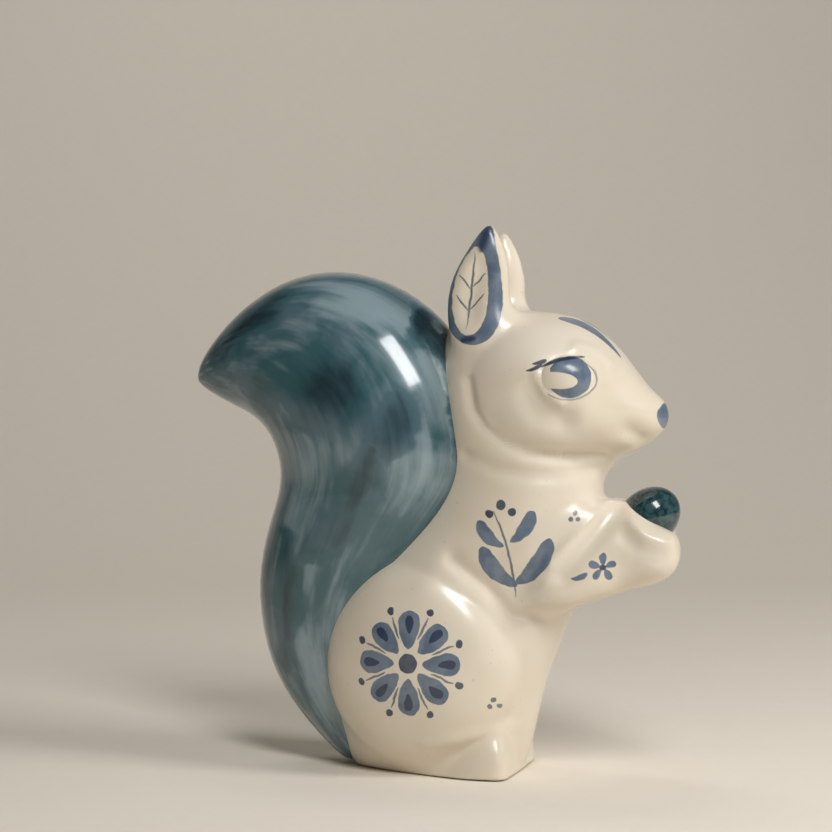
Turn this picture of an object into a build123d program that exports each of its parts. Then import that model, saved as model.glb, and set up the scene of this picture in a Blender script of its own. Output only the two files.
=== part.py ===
from build123d import *

import os

# Glazed earthenware squirrel figurine, holding a nut.
#
# The figurine is built as a potter builds it: hollow castings for the torso, head and tail,
# solid pressed limbs, ears, eyes and nut, and a closing plate in the base.  Every piece is
# luted to its neighbour with slip, on a spigot, in a socket or on a flat seat.
#
# Millimetres.  +X is forward (the nose), +Y is the figurine's left, +Z is up.
# The origin is on the table, at the middle of the resting face.

# Casting and joining
WALL = 4.0
SLIP = 0.6
SIDES = {"right": -1, "left": 1}

# Torso: a hollow casting from the table to the neck joint
TORSO_HEIGHT = 92.0
TORSO_LENGTH = 85.0
TORSO_WIDTH = 46.0
# height, rear, front, width
TORSO_SHARES = (
    (0.00, -0.340, 0.300, 0.68),
    (0.13, -0.388, 0.352, 0.86),
    (0.33, -0.430, 0.408, 0.96),
    (0.52, -0.410, 0.490, 0.96),
    (0.68, -0.285, 0.548, 0.94),
    (0.83, -0.080, 0.584, 0.86),
    (1.00, 0.000, 0.600, 0.74),
)

# Base plate: a slab that closes the foot of the torso, with a pinhole for kiln gas
PLATE_THICKNESS = 5.0
PLATE_GAP = 0.2
VENT_RADIUS = 1.7

# Haunches: solid pressed domes on the flat seats at each side of the torso
HAUNCH_RADIUS = 31.0
HAUNCH_REACH = 29.0
HAUNCH_SEAT = 17.0
HAUNCH_CENTRE_X_SHARE = -0.02
HAUNCH_CENTRE_Z_SHARE = 0.36

# Hind feet: pressed pads at the front corners of the base
FOOT_LENGTH = 25.0
FOOT_WIDTH = 15.0
FOOT_HEIGHT = 15.0
FOOT_ROUND = 5.0
FOOT_FRONT_SHARE = 0.312
FOOT_OUTSIDE_SHARE = 0.457

# Forelegs: solid pressed limbs that meet on the centre plane, round the nut
FORELEG_LENGTH = 41.5
FORELEG_HEIGHT = 31.0
FORELEG_WIDTH = 18.0
FORELEG_ROOT_SHARE = 0.3765
FORELEG_RISE_SHARE = 0.75
# along, centre height, height, centre to the side, width
FORELEG_SHARES = (
    (0.000, -0.40, 0.50, 0.58, 0.64),
    (0.200, -0.26, 0.78, 0.58, 0.94),
    (0.460, -0.02, 0.96, 0.50, 0.96),
    (0.690, 0.04, 0.82, 0.42, 0.88),
    (0.860, -0.01, 0.62, 0.40, 0.84),
    (0.950, -0.02, 0.49, 0.39, 0.72),
    (0.990, -0.01, 0.28, 0.38, 0.44),
)
SHOULDER_SPIGOT_RADIUS = 3.6
SHOULDER_SPIGOT_REACH = 4.0
SHOULDER_SPIGOT_Y_SHARE = 0.44
SHOULDER_SPIGOT_Z_SHARE = -0.10

# Nut: a solid pressed egg between the paws
NUT_RADIUS = 8.7
NUT_LENGTH = 19.0
NUT_ALONG_SHARE = 0.82
NUT_RISE_SHARE = 0.31
NUT_LEAN = 24.0
# along, radius
NUT_SHARES = ((-0.50, 0.55), (-0.34, 0.88), (0.00, 1.00), (0.28, 0.84), (0.44, 0.46))

# Head: a hollow casting that stands on the neck joint
HEAD_LENGTH = 67.5
HEAD_HEIGHT = 50.0
HEAD_WIDTH = 50.0
HEAD_BACK_SHARE = -0.334
# along, centre height, height, width
HEAD_SHARES = (
    (0.010, 0.500, 0.56, 0.50),
    (0.120, 0.500, 0.84, 0.80),
    (0.290, 0.500, 0.99, 0.96),
    (0.460, 0.470, 1.01, 1.00),
    (0.610, 0.455, 0.94, 0.92),
    (0.730, 0.425, 0.80, 0.76),
    (0.820, 0.385, 0.60, 0.56),
    (0.900, 0.355, 0.39, 0.37),
    (0.955, 0.345, 0.25, 0.24),
    (0.990, 0.345, 0.13, 0.12),
)
NECK_RISE = 13.0
NECK_FLARE_SHARE = 1.16
NECK_SPIGOT_DEPTH = 6.0
NECK_SPIGOT_WALL = 3.0

# Ears: solid pressed leaves, each dished on its outer face
EAR_HEIGHT = 32.0
EAR_LENGTH = 18.5
EAR_THICKNESS = 9.5
EAR_ROOT_DEPTH = 3.5
EAR_ALONG_SHARE = 0.178
EAR_ASIDE_SHARE = 0.22
EAR_DISH_DEPTH = 2.2
EAR_DISH_SHARE = 0.66
EAR_DISH_RISE_SHARE = 0.46
# up, along, length, thickness
EAR_SHARES = (
    (0.00, 0.00, 0.72, 0.86),
    (0.14, -0.01, 0.90, 0.98),
    (0.36, -0.02, 1.00, 1.00),
    (0.60, 0.03, 0.84, 0.82),
    (0.80, 0.10, 0.56, 0.60),
    (0.93, 0.15, 0.29, 0.36),
    (0.99, 0.17, 0.11, 0.15),
)

# Eyes: domed sprigs set in the cheeks
EYE_LENGTH = 16.6
EYE_HEIGHT = 12.8
EYE_REACH_SHARE = 0.50
EYE_SEAT_SHARE = 0.38
EYE_CENTRE_SHARE = 0.36
EYE_ALONG_SHARE = 0.62
EYE_RISE_SHARE = 0.57

# Tail: a hollow casting that curls up behind the back
TAIL_LENGTH = 92.0
TAIL_HEIGHT = 152.0
TAIL_THICKNESS = 51.6
# back edge: along, up; front edge: along, up; thickness
TAIL_SHARES = (
    (-0.050, 0.020, 0.110, 0.032, 0.25),
    (-0.112, 0.058, 0.118, 0.079, 0.36),
    (-0.184, 0.104, 0.150, 0.138, 0.48),
    (-0.286, 0.192, 0.162, 0.250, 0.65),
    (-0.332, 0.345, 0.227, 0.378, 0.79),
    (-0.300, 0.458, 0.363, 0.487, 0.89),
    (-0.248, 0.546, 0.477, 0.572, 0.95),
    (-0.238, 0.598, 0.499, 0.648, 1.00),
    (-0.262, 0.655, 0.473, 0.749, 1.00),
    (-0.312, 0.694, 0.390, 0.858, 0.98),
    (-0.411, 0.725, 0.030, 1.001, 0.80),
    (-0.455, 0.738, -0.186, 0.993, 0.64),
    (-0.499, 0.752, -0.366, 0.938, 0.44),
    (-0.537, 0.767, -0.493, 0.857, 0.23),
    (-0.548, 0.773, -0.530, 0.815, 0.11),
)
# how far the hollow runs from the back edge to the front edge, by station
TAIL_HOLLOW_SHARES = {
    3: 0.33,
    4: 0.47,
    5: 0.62,
    6: 0.63,
    8: 0.67,
    9: 0.80,
    10: 0.91,
    11: 0.90,
    12: 0.84,
}
TAIL_SPIGOT_STATIONS = (3, 4)
TAIL_SPIGOT_RADIUS = 6.5
TAIL_SPIGOT_BORE = 3.5
TAIL_SPIGOT_REACH = 4.0
TAIL_SPIGOT_RISE_SHARE = 0.276

NECK_JOINT = TORSO_HEIGHT + SLIP


def torso_ellipse(height, inset=0.0):
    """Centre x, half length and half width of the torso at a share of its height."""
    above = next((i for i, row in enumerate(TORSO_SHARES) if row[0] >= height), len(TORSO_SHARES) - 1)
    low = TORSO_SHARES[max(above - 1, 0)]
    high = TORSO_SHARES[above]
    blend = (height - low[0]) / (high[0] - low[0]) if above else 0.0
    rear, front, width = (a + (b - a) * blend for a, b in zip(low[1:], high[1:]))
    centre = (rear + front) / 2 * TORSO_LENGTH
    half_length = (front - rear) / 2 * TORSO_LENGTH - inset
    return centre, half_length, width * TORSO_WIDTH / 2 - inset


def torso_hollow(z):
    """Centre x, half length and half width of the torso's hollow at a height."""
    centre, half_length, half_width = torso_ellipse(z / TORSO_HEIGHT, WALL)
    return centre, half_length, min(half_width, HAUNCH_SEAT - WALL)


def export(builder, label):
    """Labels a finished piece and writes it as one STEP file."""
    builder.part.label = label
    export_step(builder.part, f"parts/{label}.step")
    print(label, round(builder.part.volume), "mm3,", len(builder.part.solids()), "solid")


os.makedirs("parts", exist_ok=True)

neck_x, neck_length, neck_width = torso_ellipse(1.0)
haunch_x = HAUNCH_CENTRE_X_SHARE * TORSO_LENGTH
haunch_z = HAUNCH_CENTRE_Z_SHARE * TORSO_HEIGHT
haunch_rise = HAUNCH_REACH - HAUNCH_SEAT
haunch_sphere = (HAUNCH_RADIUS**2 + haunch_rise**2) / (2 * haunch_rise)
foreleg_x = FORELEG_ROOT_SHARE * TORSO_LENGTH
foreleg_z = FORELEG_RISE_SHARE * TORSO_HEIGHT
head_back = neck_x + HEAD_BACK_SHARE * HEAD_LENGTH
ear_x = head_back + EAR_ALONG_SHARE * HEAD_LENGTH
ear_y = EAR_ASIDE_SHARE * HEAD_WIDTH
tail_root_x = TORSO_SHARES[0][1] * TORSO_LENGTH

# Whole forms, before they are hollowed and cut to seat on each other

with BuildPart() as torso_form:
    for height, *_ in TORSO_SHARES:
        centre, half_length, half_width = torso_ellipse(height)
        with BuildSketch(Plane.XY.offset(height * TORSO_HEIGHT)):
            with Locations((centre, 0)):
                Ellipse(half_length, half_width)
    loft()

haunch_form = {}
foot_form = {}
foreleg_form = {}
ear_form = {}
ear_dish = {}
eye_form = {}
head_sections = [
    (
        head_back + along * HEAD_LENGTH,
        NECK_JOINT + rise * HEAD_HEIGHT,
        height * HEAD_HEIGHT / 2,
        width * HEAD_WIDTH / 2,
    )
    for along, rise, height, width in HEAD_SHARES
]

with BuildPart() as head_form:
    for x, z, half_height, half_width in head_sections:
        with BuildSketch(Plane(origin=(x, 0, z), x_dir=(0, 0, 1), z_dir=(1, 0, 0))):
            Ellipse(half_height, half_width)
    loft()
    for z, flare in ((NECK_JOINT, 1.0), (NECK_JOINT + NECK_RISE, NECK_FLARE_SHARE)):
        with BuildSketch(Plane.XY.offset(z)):
            with Locations((neck_x, 0)):
                Ellipse(neck_length * flare, neck_width * flare)
    loft()
    split(bisect_by=Plane.XY.offset(NECK_JOINT), keep=Keep.TOP)

head_top = max(z + half_height for _, z, half_height, _ in head_sections)
ear_root_z = head_top - EAR_ROOT_DEPTH - EAR_THICKNESS / 2

for side, sign in SIDES.items():
    with BuildPart() as haunch:
        with Locations((haunch_x, sign * (HAUNCH_REACH - haunch_sphere), haunch_z)):
            Sphere(haunch_sphere)
        seat = Plane(origin=(0, sign * HAUNCH_SEAT, 0), z_dir=(0, sign, 0))
        split(bisect_by=seat, keep=Keep.TOP)
    haunch_form[side] = haunch.part

    with BuildPart() as foot:
        foot_middle = (
            FOOT_FRONT_SHARE * TORSO_LENGTH - FOOT_LENGTH / 2,
            sign * (FOOT_OUTSIDE_SHARE * TORSO_WIDTH - FOOT_WIDTH / 2),
        )
        with Locations(foot_middle):
            Box(
                FOOT_LENGTH,
                FOOT_WIDTH,
                FOOT_HEIGHT,
                align=(Align.CENTER, Align.CENTER, Align.MIN),
            )
        upper = foot.faces().sort_by(Axis.Z)[-1].edges()
        upright = foot.edges().filter_by(Axis.Z).group_by(Axis.X)[-1]
        fillet(upper + upright, radius=FOOT_ROUND)
    foot_form[side] = foot.part

    with BuildPart() as foreleg:
        for along, rise, height, aside, width in FORELEG_SHARES:
            place = (
                foreleg_x + along * FORELEG_LENGTH,
                sign * aside * FORELEG_WIDTH,
                foreleg_z + rise * FORELEG_HEIGHT,
            )
            with BuildSketch(Plane(origin=place, x_dir=(0, 0, 1), z_dir=(1, 0, 0))):
                Ellipse(height * FORELEG_HEIGHT / 2, width * FORELEG_WIDTH / 2)
        loft()
        middle = Plane(origin=(0, 0, 0), z_dir=(0, sign, 0))
        split(bisect_by=middle, keep=Keep.TOP)
    foreleg_form[side] = foreleg.part

    with BuildPart() as ear:
        for up, along, length, thickness in EAR_SHARES:
            place = (
                ear_x + along * EAR_LENGTH,
                sign * ear_y,
                ear_root_z + up * EAR_HEIGHT,
            )
            with BuildSketch(Plane(origin=place)):
                Ellipse(length * EAR_LENGTH / 2, thickness * EAR_THICKNESS / 2)
        loft()
    ear_form[side] = ear.part

    with BuildPart() as dish:
        Sphere(radius=1)
        scale(by=(EAR_DISH_SHARE * EAR_LENGTH / 2, EAR_DISH_DEPTH, EAR_DISH_SHARE * EAR_HEIGHT / 2))
    dish_centre = (
        ear_x,
        sign * (ear_y + EAR_THICKNESS / 2),
        ear_root_z + EAR_DISH_RISE_SHARE * EAR_HEIGHT,
    )
    ear_dish[side] = dish.part.moved(Location(dish_centre))

    with BuildPart() as eye:
        Sphere(radius=1)
        eye_depth = (EYE_REACH_SHARE - EYE_CENTRE_SHARE) * HEAD_WIDTH
        scale(by=(EYE_LENGTH / 2, eye_depth, EYE_HEIGHT / 2))
    eye_centre = (
        head_back + EYE_ALONG_SHARE * HEAD_LENGTH,
        sign * EYE_CENTRE_SHARE * HEAD_WIDTH,
        NECK_JOINT + EYE_RISE_SHARE * HEAD_HEIGHT,
    )
    with BuildPart() as seated_eye:
        add(eye.part.moved(Location(eye_centre)))
        seat = Plane(origin=(0, sign * EYE_SEAT_SHARE * HEAD_WIDTH, 0), z_dir=(0, sign, 0))
        split(bisect_by=seat, keep=Keep.TOP)
    eye_form[side] = seated_eye.part



def tail_point(along, up):
    """A point on the tail's outline, in the middle plane of the figurine."""
    return Vector(tail_root_x + along * TAIL_LENGTH, 0, up * TAIL_HEIGHT)


def tail_station(index):
    """Plane, half length and half thickness of one cross section of the tail."""
    back_along, back_up, front_along, front_up, thickness = TAIL_SHARES[index]
    back = tail_point(back_along, back_up)
    front = tail_point(front_along, front_up)
    across = (front - back).normalized()
    plane = Plane(origin=(back + front) / 2, x_dir=across, z_dir=across.cross(Vector(0, 1, 0)))
    return plane, (front - back).length / 2, thickness * TAIL_THICKNESS / 2


with BuildPart() as tail_form:
    for index in range(len(TAIL_SHARES)):
        plane, half_length, half_thickness = tail_station(index)
        with BuildSketch(plane):
            Ellipse(half_length, half_thickness)
    loft()
    split(bisect_by=Plane.XY, keep=Keep.TOP)

def tail_hollow(index):
    """Middle x and z of the tail's hollow at a station, with its plane, offset and half sizes."""
    plane, half_length, half_thickness = tail_station(index)
    front = (2 * TAIL_HOLLOW_SHARES[index] - 1) * half_length
    back = WALL - half_length
    half = (front - back) / 2
    middle = plane.origin + plane.x_dir * (front + back) / 2
    return middle.X, middle.Z, plane, (front + back) / 2, half, min(half_thickness - WALL, half)


with BuildPart() as tail_cavity:
    for index in TAIL_HOLLOW_SHARES:
        _, _, plane, offset, half_length, half_thickness = tail_hollow(index)
        with BuildSketch(plane):
            with Locations((offset, 0)):
                Ellipse(half_length, half_thickness)
    loft()

nut_x = foreleg_x + NUT_ALONG_SHARE * FORELEG_LENGTH
nut_z = foreleg_z + NUT_RISE_SHARE * FORELEG_HEIGHT
nut_across = Vector(1, 0, 0).rotate(Axis.Y, NUT_LEAN)
nut_plane = Plane(origin=(nut_x, 0, nut_z), x_dir=nut_across, z_dir=(0, -1, 0))

with BuildPart() as nut_form:
    with BuildSketch(nut_plane):
        with BuildLine():
            flank = [(radius * NUT_RADIUS, along * NUT_LENGTH) for along, radius in NUT_SHARES]
            butt = (0, flank[0][1])
            tip = (0, NUT_LENGTH / 2)
            Polyline(tip, butt, flank[0])
            Spline(*flank, tip)
        make_face()
    revolve(axis=Axis(nut_plane.origin, nut_plane.y_dir))


# Torso shell and the plate that closes it

neck_opening = (neck_length - WALL, neck_width - WALL)

with BuildPart() as torso_cavity:
    for height, *_ in TORSO_SHARES:
        centre, half_length, half_width = torso_hollow(height * TORSO_HEIGHT)
        with BuildSketch(Plane.XY.offset(height * TORSO_HEIGHT)):
            with Locations((centre, 0)):
                Ellipse(half_length, half_width)
    loft()


# The tail's spigot runs from the hollow of the tail to the hollow of the torso
tail_spigot_z = TAIL_SPIGOT_RISE_SHARE * TAIL_HEIGHT
low, high = (tail_hollow(index) for index in TAIL_SPIGOT_STATIONS)
blend = (tail_spigot_z - low[1]) / (high[1] - low[1])
tail_spigot_x = low[0] + blend * (high[0] - low[0])
centre, half_length, _ = torso_hollow(tail_spigot_z + TAIL_SPIGOT_RADIUS)
tail_spigot_length = centre - half_length + TAIL_SPIGOT_REACH - tail_spigot_x
tail_spigot = Plane(origin=(tail_spigot_x, 0, tail_spigot_z), z_dir=(1, 0, 0))

# Each foreleg's spigot runs from the hollow of the torso into the solid limb
shoulder_z = foreleg_z + SHOULDER_SPIGOT_Z_SHARE * FORELEG_HEIGHT
shoulder_y = SHOULDER_SPIGOT_Y_SHARE * FORELEG_WIDTH
centre, half_length, half_width = torso_hollow(shoulder_z)
chest_x = centre + half_length * (1 - (shoulder_y / half_width) ** 2) ** 0.5
shoulder_length = 2 * SHOULDER_SPIGOT_REACH + 2 * WALL
shoulder_spigot = {
    side: Plane(
        origin=(chest_x - SHOULDER_SPIGOT_REACH, sign * shoulder_y, shoulder_z), z_dir=(1, 0, 0)
    )
    for side, sign in SIDES.items()
}

with BuildPart() as torso_shell:
    add(torso_form.part)
    add(torso_cavity.part, mode=Mode.SUBTRACT)
    for side in SIDES:
        add(haunch_form[side], mode=Mode.SUBTRACT)
        with BuildSketch(shoulder_spigot[side]):
            Circle(SHOULDER_SPIGOT_RADIUS + SLIP)
        extrude(amount=shoulder_length, mode=Mode.SUBTRACT)
    with BuildSketch(tail_spigot):
        Circle(TAIL_SPIGOT_RADIUS + SLIP)
    extrude(amount=tail_spigot_length, mode=Mode.SUBTRACT)
export(torso_shell, "torso_shell")

with BuildPart() as base_plate:
    plate_x, plate_length, plate_width = torso_ellipse(0.0, WALL + PLATE_GAP)
    with BuildSketch():
        with Locations((plate_x, 0)):
            Ellipse(plate_length, plate_width)
        with Locations((plate_x - plate_length / 2, 0)):
            Circle(VENT_RADIUS, mode=Mode.SUBTRACT)
    extrude(amount=PLATE_THICKNESS)
export(base_plate, "base_plate")

# Head shell on its spigot, and the ring of slip in the neck joint

with BuildPart() as head_cavity:
    for x, z, half_height, half_width in head_sections[1:-3]:
        with BuildSketch(Plane(origin=(x, 0, z), x_dir=(0, 0, 1), z_dir=(1, 0, 0))):
            Ellipse(half_height - WALL, half_width - WALL)
    loft()

spigot_length = neck_opening[0] - SLIP
spigot_width = neck_opening[1] - SLIP

with BuildPart() as head_shell:
    add(head_form.part)
    with BuildSketch(Plane.XY.offset(NECK_JOINT)):
        with Locations((neck_x, 0)):
            Ellipse(spigot_length, spigot_width)
    extrude(amount=-NECK_SPIGOT_DEPTH)
    add(head_cavity.part, mode=Mode.SUBTRACT)
    with BuildSketch(Plane.XY.offset(NECK_JOINT - NECK_SPIGOT_DEPTH)):
        with Locations((neck_x, 0)):
            Ellipse(spigot_length - NECK_SPIGOT_WALL, spigot_width - NECK_SPIGOT_WALL)
    extrude(amount=NECK_SPIGOT_DEPTH + NECK_RISE, mode=Mode.SUBTRACT)
    for side in SIDES:
        add(eye_form[side], mode=Mode.SUBTRACT)
        add(ear_form[side], mode=Mode.SUBTRACT)
export(head_shell, "head_shell")

with BuildPart() as neck_slip_ring:
    with BuildSketch(Plane.XY.offset(TORSO_HEIGHT)):
        with Locations((neck_x, 0)):
            Ellipse(neck_length, neck_width)
            Ellipse(spigot_length, spigot_width, mode=Mode.SUBTRACT)
    extrude(amount=SLIP)
export(neck_slip_ring, "neck_slip_ring")

# Tail shell, cut to the back of the figurine, on its hollow spigot

with BuildPart() as tail_shell:
    add(tail_form.part)
    add(torso_form.part, mode=Mode.SUBTRACT)
    add(head_form.part, mode=Mode.SUBTRACT)
    with BuildSketch(Plane.XY.offset(TORSO_HEIGHT)):
        with Locations((neck_x, 0)):
            Ellipse(neck_length, neck_width)
    extrude(amount=SLIP, mode=Mode.SUBTRACT)
    for side in SIDES:
        add(haunch_form[side], mode=Mode.SUBTRACT)
        add(ear_form[side], mode=Mode.SUBTRACT)
    with BuildSketch(tail_spigot):
        Circle(TAIL_SPIGOT_RADIUS)
    extrude(amount=tail_spigot_length)
    add(tail_cavity.part, mode=Mode.SUBTRACT)
    with BuildSketch(tail_spigot):
        Circle(TAIL_SPIGOT_BORE)
    extrude(amount=tail_spigot_length, mode=Mode.SUBTRACT)
export(tail_shell, "tail_shell")

with BuildPart() as tail_slip_collar:
    with BuildSketch(tail_spigot):
        Circle(TAIL_SPIGOT_RADIUS + SLIP)
        Circle(TAIL_SPIGOT_RADIUS, mode=Mode.SUBTRACT)
    extrude(amount=tail_spigot_length)
    add(torso_form.part, mode=Mode.INTERSECT)
    add(torso_cavity.part, mode=Mode.SUBTRACT)
export(tail_slip_collar, "tail_slip_collar")

# Pieces in pairs

for side in SIDES:
    with BuildPart() as haunch:
        add(haunch_form[side])
    export(haunch, f"{side}_haunch")

    with BuildPart() as hind_foot:
        add(foot_form[side])
        add(torso_form.part, mode=Mode.SUBTRACT)
        add(haunch_form[side], mode=Mode.SUBTRACT)
    export(hind_foot, f"{side}_hind_foot")

    with BuildPart() as foreleg:
        add(foreleg_form[side])
        add(torso_form.part, mode=Mode.SUBTRACT)
        add(nut_form.part, mode=Mode.SUBTRACT)
        with BuildSketch(shoulder_spigot[side]):
            Circle(SHOULDER_SPIGOT_RADIUS)
        extrude(amount=shoulder_length + WALL)
    export(foreleg, f"{side}_foreleg")

    with BuildPart() as shoulder_slip:
        with BuildSketch(shoulder_spigot[side]):
            Circle(SHOULDER_SPIGOT_RADIUS + SLIP)
            Circle(SHOULDER_SPIGOT_RADIUS, mode=Mode.SUBTRACT)
        extrude(amount=shoulder_length)
        add(torso_form.part, mode=Mode.INTERSECT)
        add(torso_cavity.part, mode=Mode.SUBTRACT)
    export(shoulder_slip, f"{side}_shoulder_slip_collar")

    with BuildPart() as ear:
        add(ear_form[side])
        add(ear_dish[side], mode=Mode.SUBTRACT)
    export(ear, f"{side}_ear")

    with BuildPart() as eye:
        add(eye_form[side])
    export(eye, f"{side}_eye")

with BuildPart() as nut:
    add(nut_form.part)
export(nut, "nut")
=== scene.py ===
"""Dresses the squirrel figurine: modelled clay forms under brushed, painted and glossy glazes.

The clay is modelled as one continuous surface, as it looks after fettling, and is then cut along the
figurine's joints into one piece for each part of the frame.  All tables are in millimetres.
"""

import logging
import math
from dataclasses import dataclass
from enum import Enum
from typing import Sequence, Union

import bpy
import numpy as np
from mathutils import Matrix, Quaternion, Vector
from mathutils.bvhtree import BVHTree
from mathutils.interpolate import poly_3d_calc


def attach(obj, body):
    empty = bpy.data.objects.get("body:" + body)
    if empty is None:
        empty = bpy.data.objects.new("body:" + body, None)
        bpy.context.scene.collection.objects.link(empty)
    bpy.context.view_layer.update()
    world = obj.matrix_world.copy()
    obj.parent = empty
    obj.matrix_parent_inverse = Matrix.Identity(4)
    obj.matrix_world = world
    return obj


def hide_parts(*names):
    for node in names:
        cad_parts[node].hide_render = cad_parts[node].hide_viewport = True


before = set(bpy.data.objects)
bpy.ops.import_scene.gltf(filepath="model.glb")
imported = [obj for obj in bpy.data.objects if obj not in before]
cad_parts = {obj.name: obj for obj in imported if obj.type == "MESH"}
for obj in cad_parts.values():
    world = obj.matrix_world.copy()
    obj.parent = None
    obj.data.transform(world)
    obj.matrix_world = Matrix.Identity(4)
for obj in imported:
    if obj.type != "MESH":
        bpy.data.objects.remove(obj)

LOG = logging.getLogger("squirrel")
MM = 0.001
RING_SIDES = 32
BALL_SEGMENTS = 48
BALL_RINGS = 28
DISC_SIDES = 96
RUB_STEPS = 16
UPRIGHT = 90.0
DECIMETRE = 100.0
BUMP_STRENGTH = 0.12
BUMP_DISTANCE = 0.0006

Pair = tuple[float, float]
Triple = tuple[float, float, float]
Colour = tuple[float, float, float, float]
Feed = Union[bpy.types.NodeSocket, float, Sequence[float]]


class Side(Enum):
    """The figurine's own right and left, as the sign of Y."""

    RIGHT = -1
    LEFT = 1

    @property
    def label(self) -> str:
        """The word that starts the names of this side's pieces."""
        return self.name.lower()


@dataclass(frozen=True)
class Ring:
    """One cross section of a clay form: an ellipse that spans Y and a line in the XZ plane.

    Attributes:
        x, y, z: centre.
        along: half size on the line in the XZ plane.
        across: half size in Y.
        turn: angle of that line above +X, in degrees; 0 is a level ring, 90 an upright one.
    """

    x: float
    y: float
    z: float
    along: float
    across: float
    turn: float = 0.0


class Workbench:
    """Small helpers for modelling with operators."""

    @staticmethod
    def clear_selection() -> None:
        """Deselects every object and leaves edit mode."""
        if bpy.context.object and bpy.context.object.mode != "OBJECT":
            bpy.ops.object.mode_set(mode="OBJECT")
        bpy.ops.object.select_all(action="DESELECT")

    @staticmethod
    def activate(piece: bpy.types.Object) -> None:
        """Makes one object the only selected and active one."""
        Workbench.clear_selection()
        piece.select_set(True)
        bpy.context.view_layer.objects.active = piece

    @staticmethod
    def apply(piece: bpy.types.Object, kind: str, **settings: object) -> None:
        """Adds a modifier with its settings and applies it."""
        Workbench.activate(piece)
        modifier = piece.modifiers.new(kind.lower(), kind)
        for key, value in settings.items():
            setattr(modifier, key, value)
        bpy.ops.object.modifier_apply(modifier=modifier.name)

    @staticmethod
    def rub(piece: bpy.types.Object, weights: np.ndarray, rounds: int) -> None:
        """Smooths a mesh where the weights are above zero."""
        group = piece.vertex_groups.new(name="rub")
        steps = np.round(weights * RUB_STEPS).astype(int)
        for step in range(1, RUB_STEPS + 1):
            group.add(np.flatnonzero(steps == step).tolist(), step / RUB_STEPS, "REPLACE")
        Workbench.apply(piece, "SMOOTH", factor=0.5, iterations=rounds, vertex_group="rub")
        piece.vertex_groups.clear()

    @staticmethod
    def points(piece: bpy.types.Object) -> np.ndarray:
        """The vertices of a mesh, in millimetres."""
        flat = np.empty(len(piece.data.vertices) * 3, np.float32)
        piece.data.vertices.foreach_get("co", flat)
        return flat.reshape(-1, 3).astype(float) / MM

    @staticmethod
    def set_points(piece: bpy.types.Object, points: np.ndarray) -> None:
        """Moves the vertices of a mesh to points in millimetres."""
        piece.data.vertices.foreach_set("co", (points * MM).astype(np.float32).ravel())
        piece.data.update()

    @staticmethod
    def normals(piece: bpy.types.Object) -> np.ndarray:
        """The vertex normals of a mesh."""
        flat = np.empty(len(piece.data.vertices) * 3, np.float32)
        piece.data.vertex_normals.foreach_get("vector", flat)
        return flat.reshape(-1, 3).astype(float)


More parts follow.
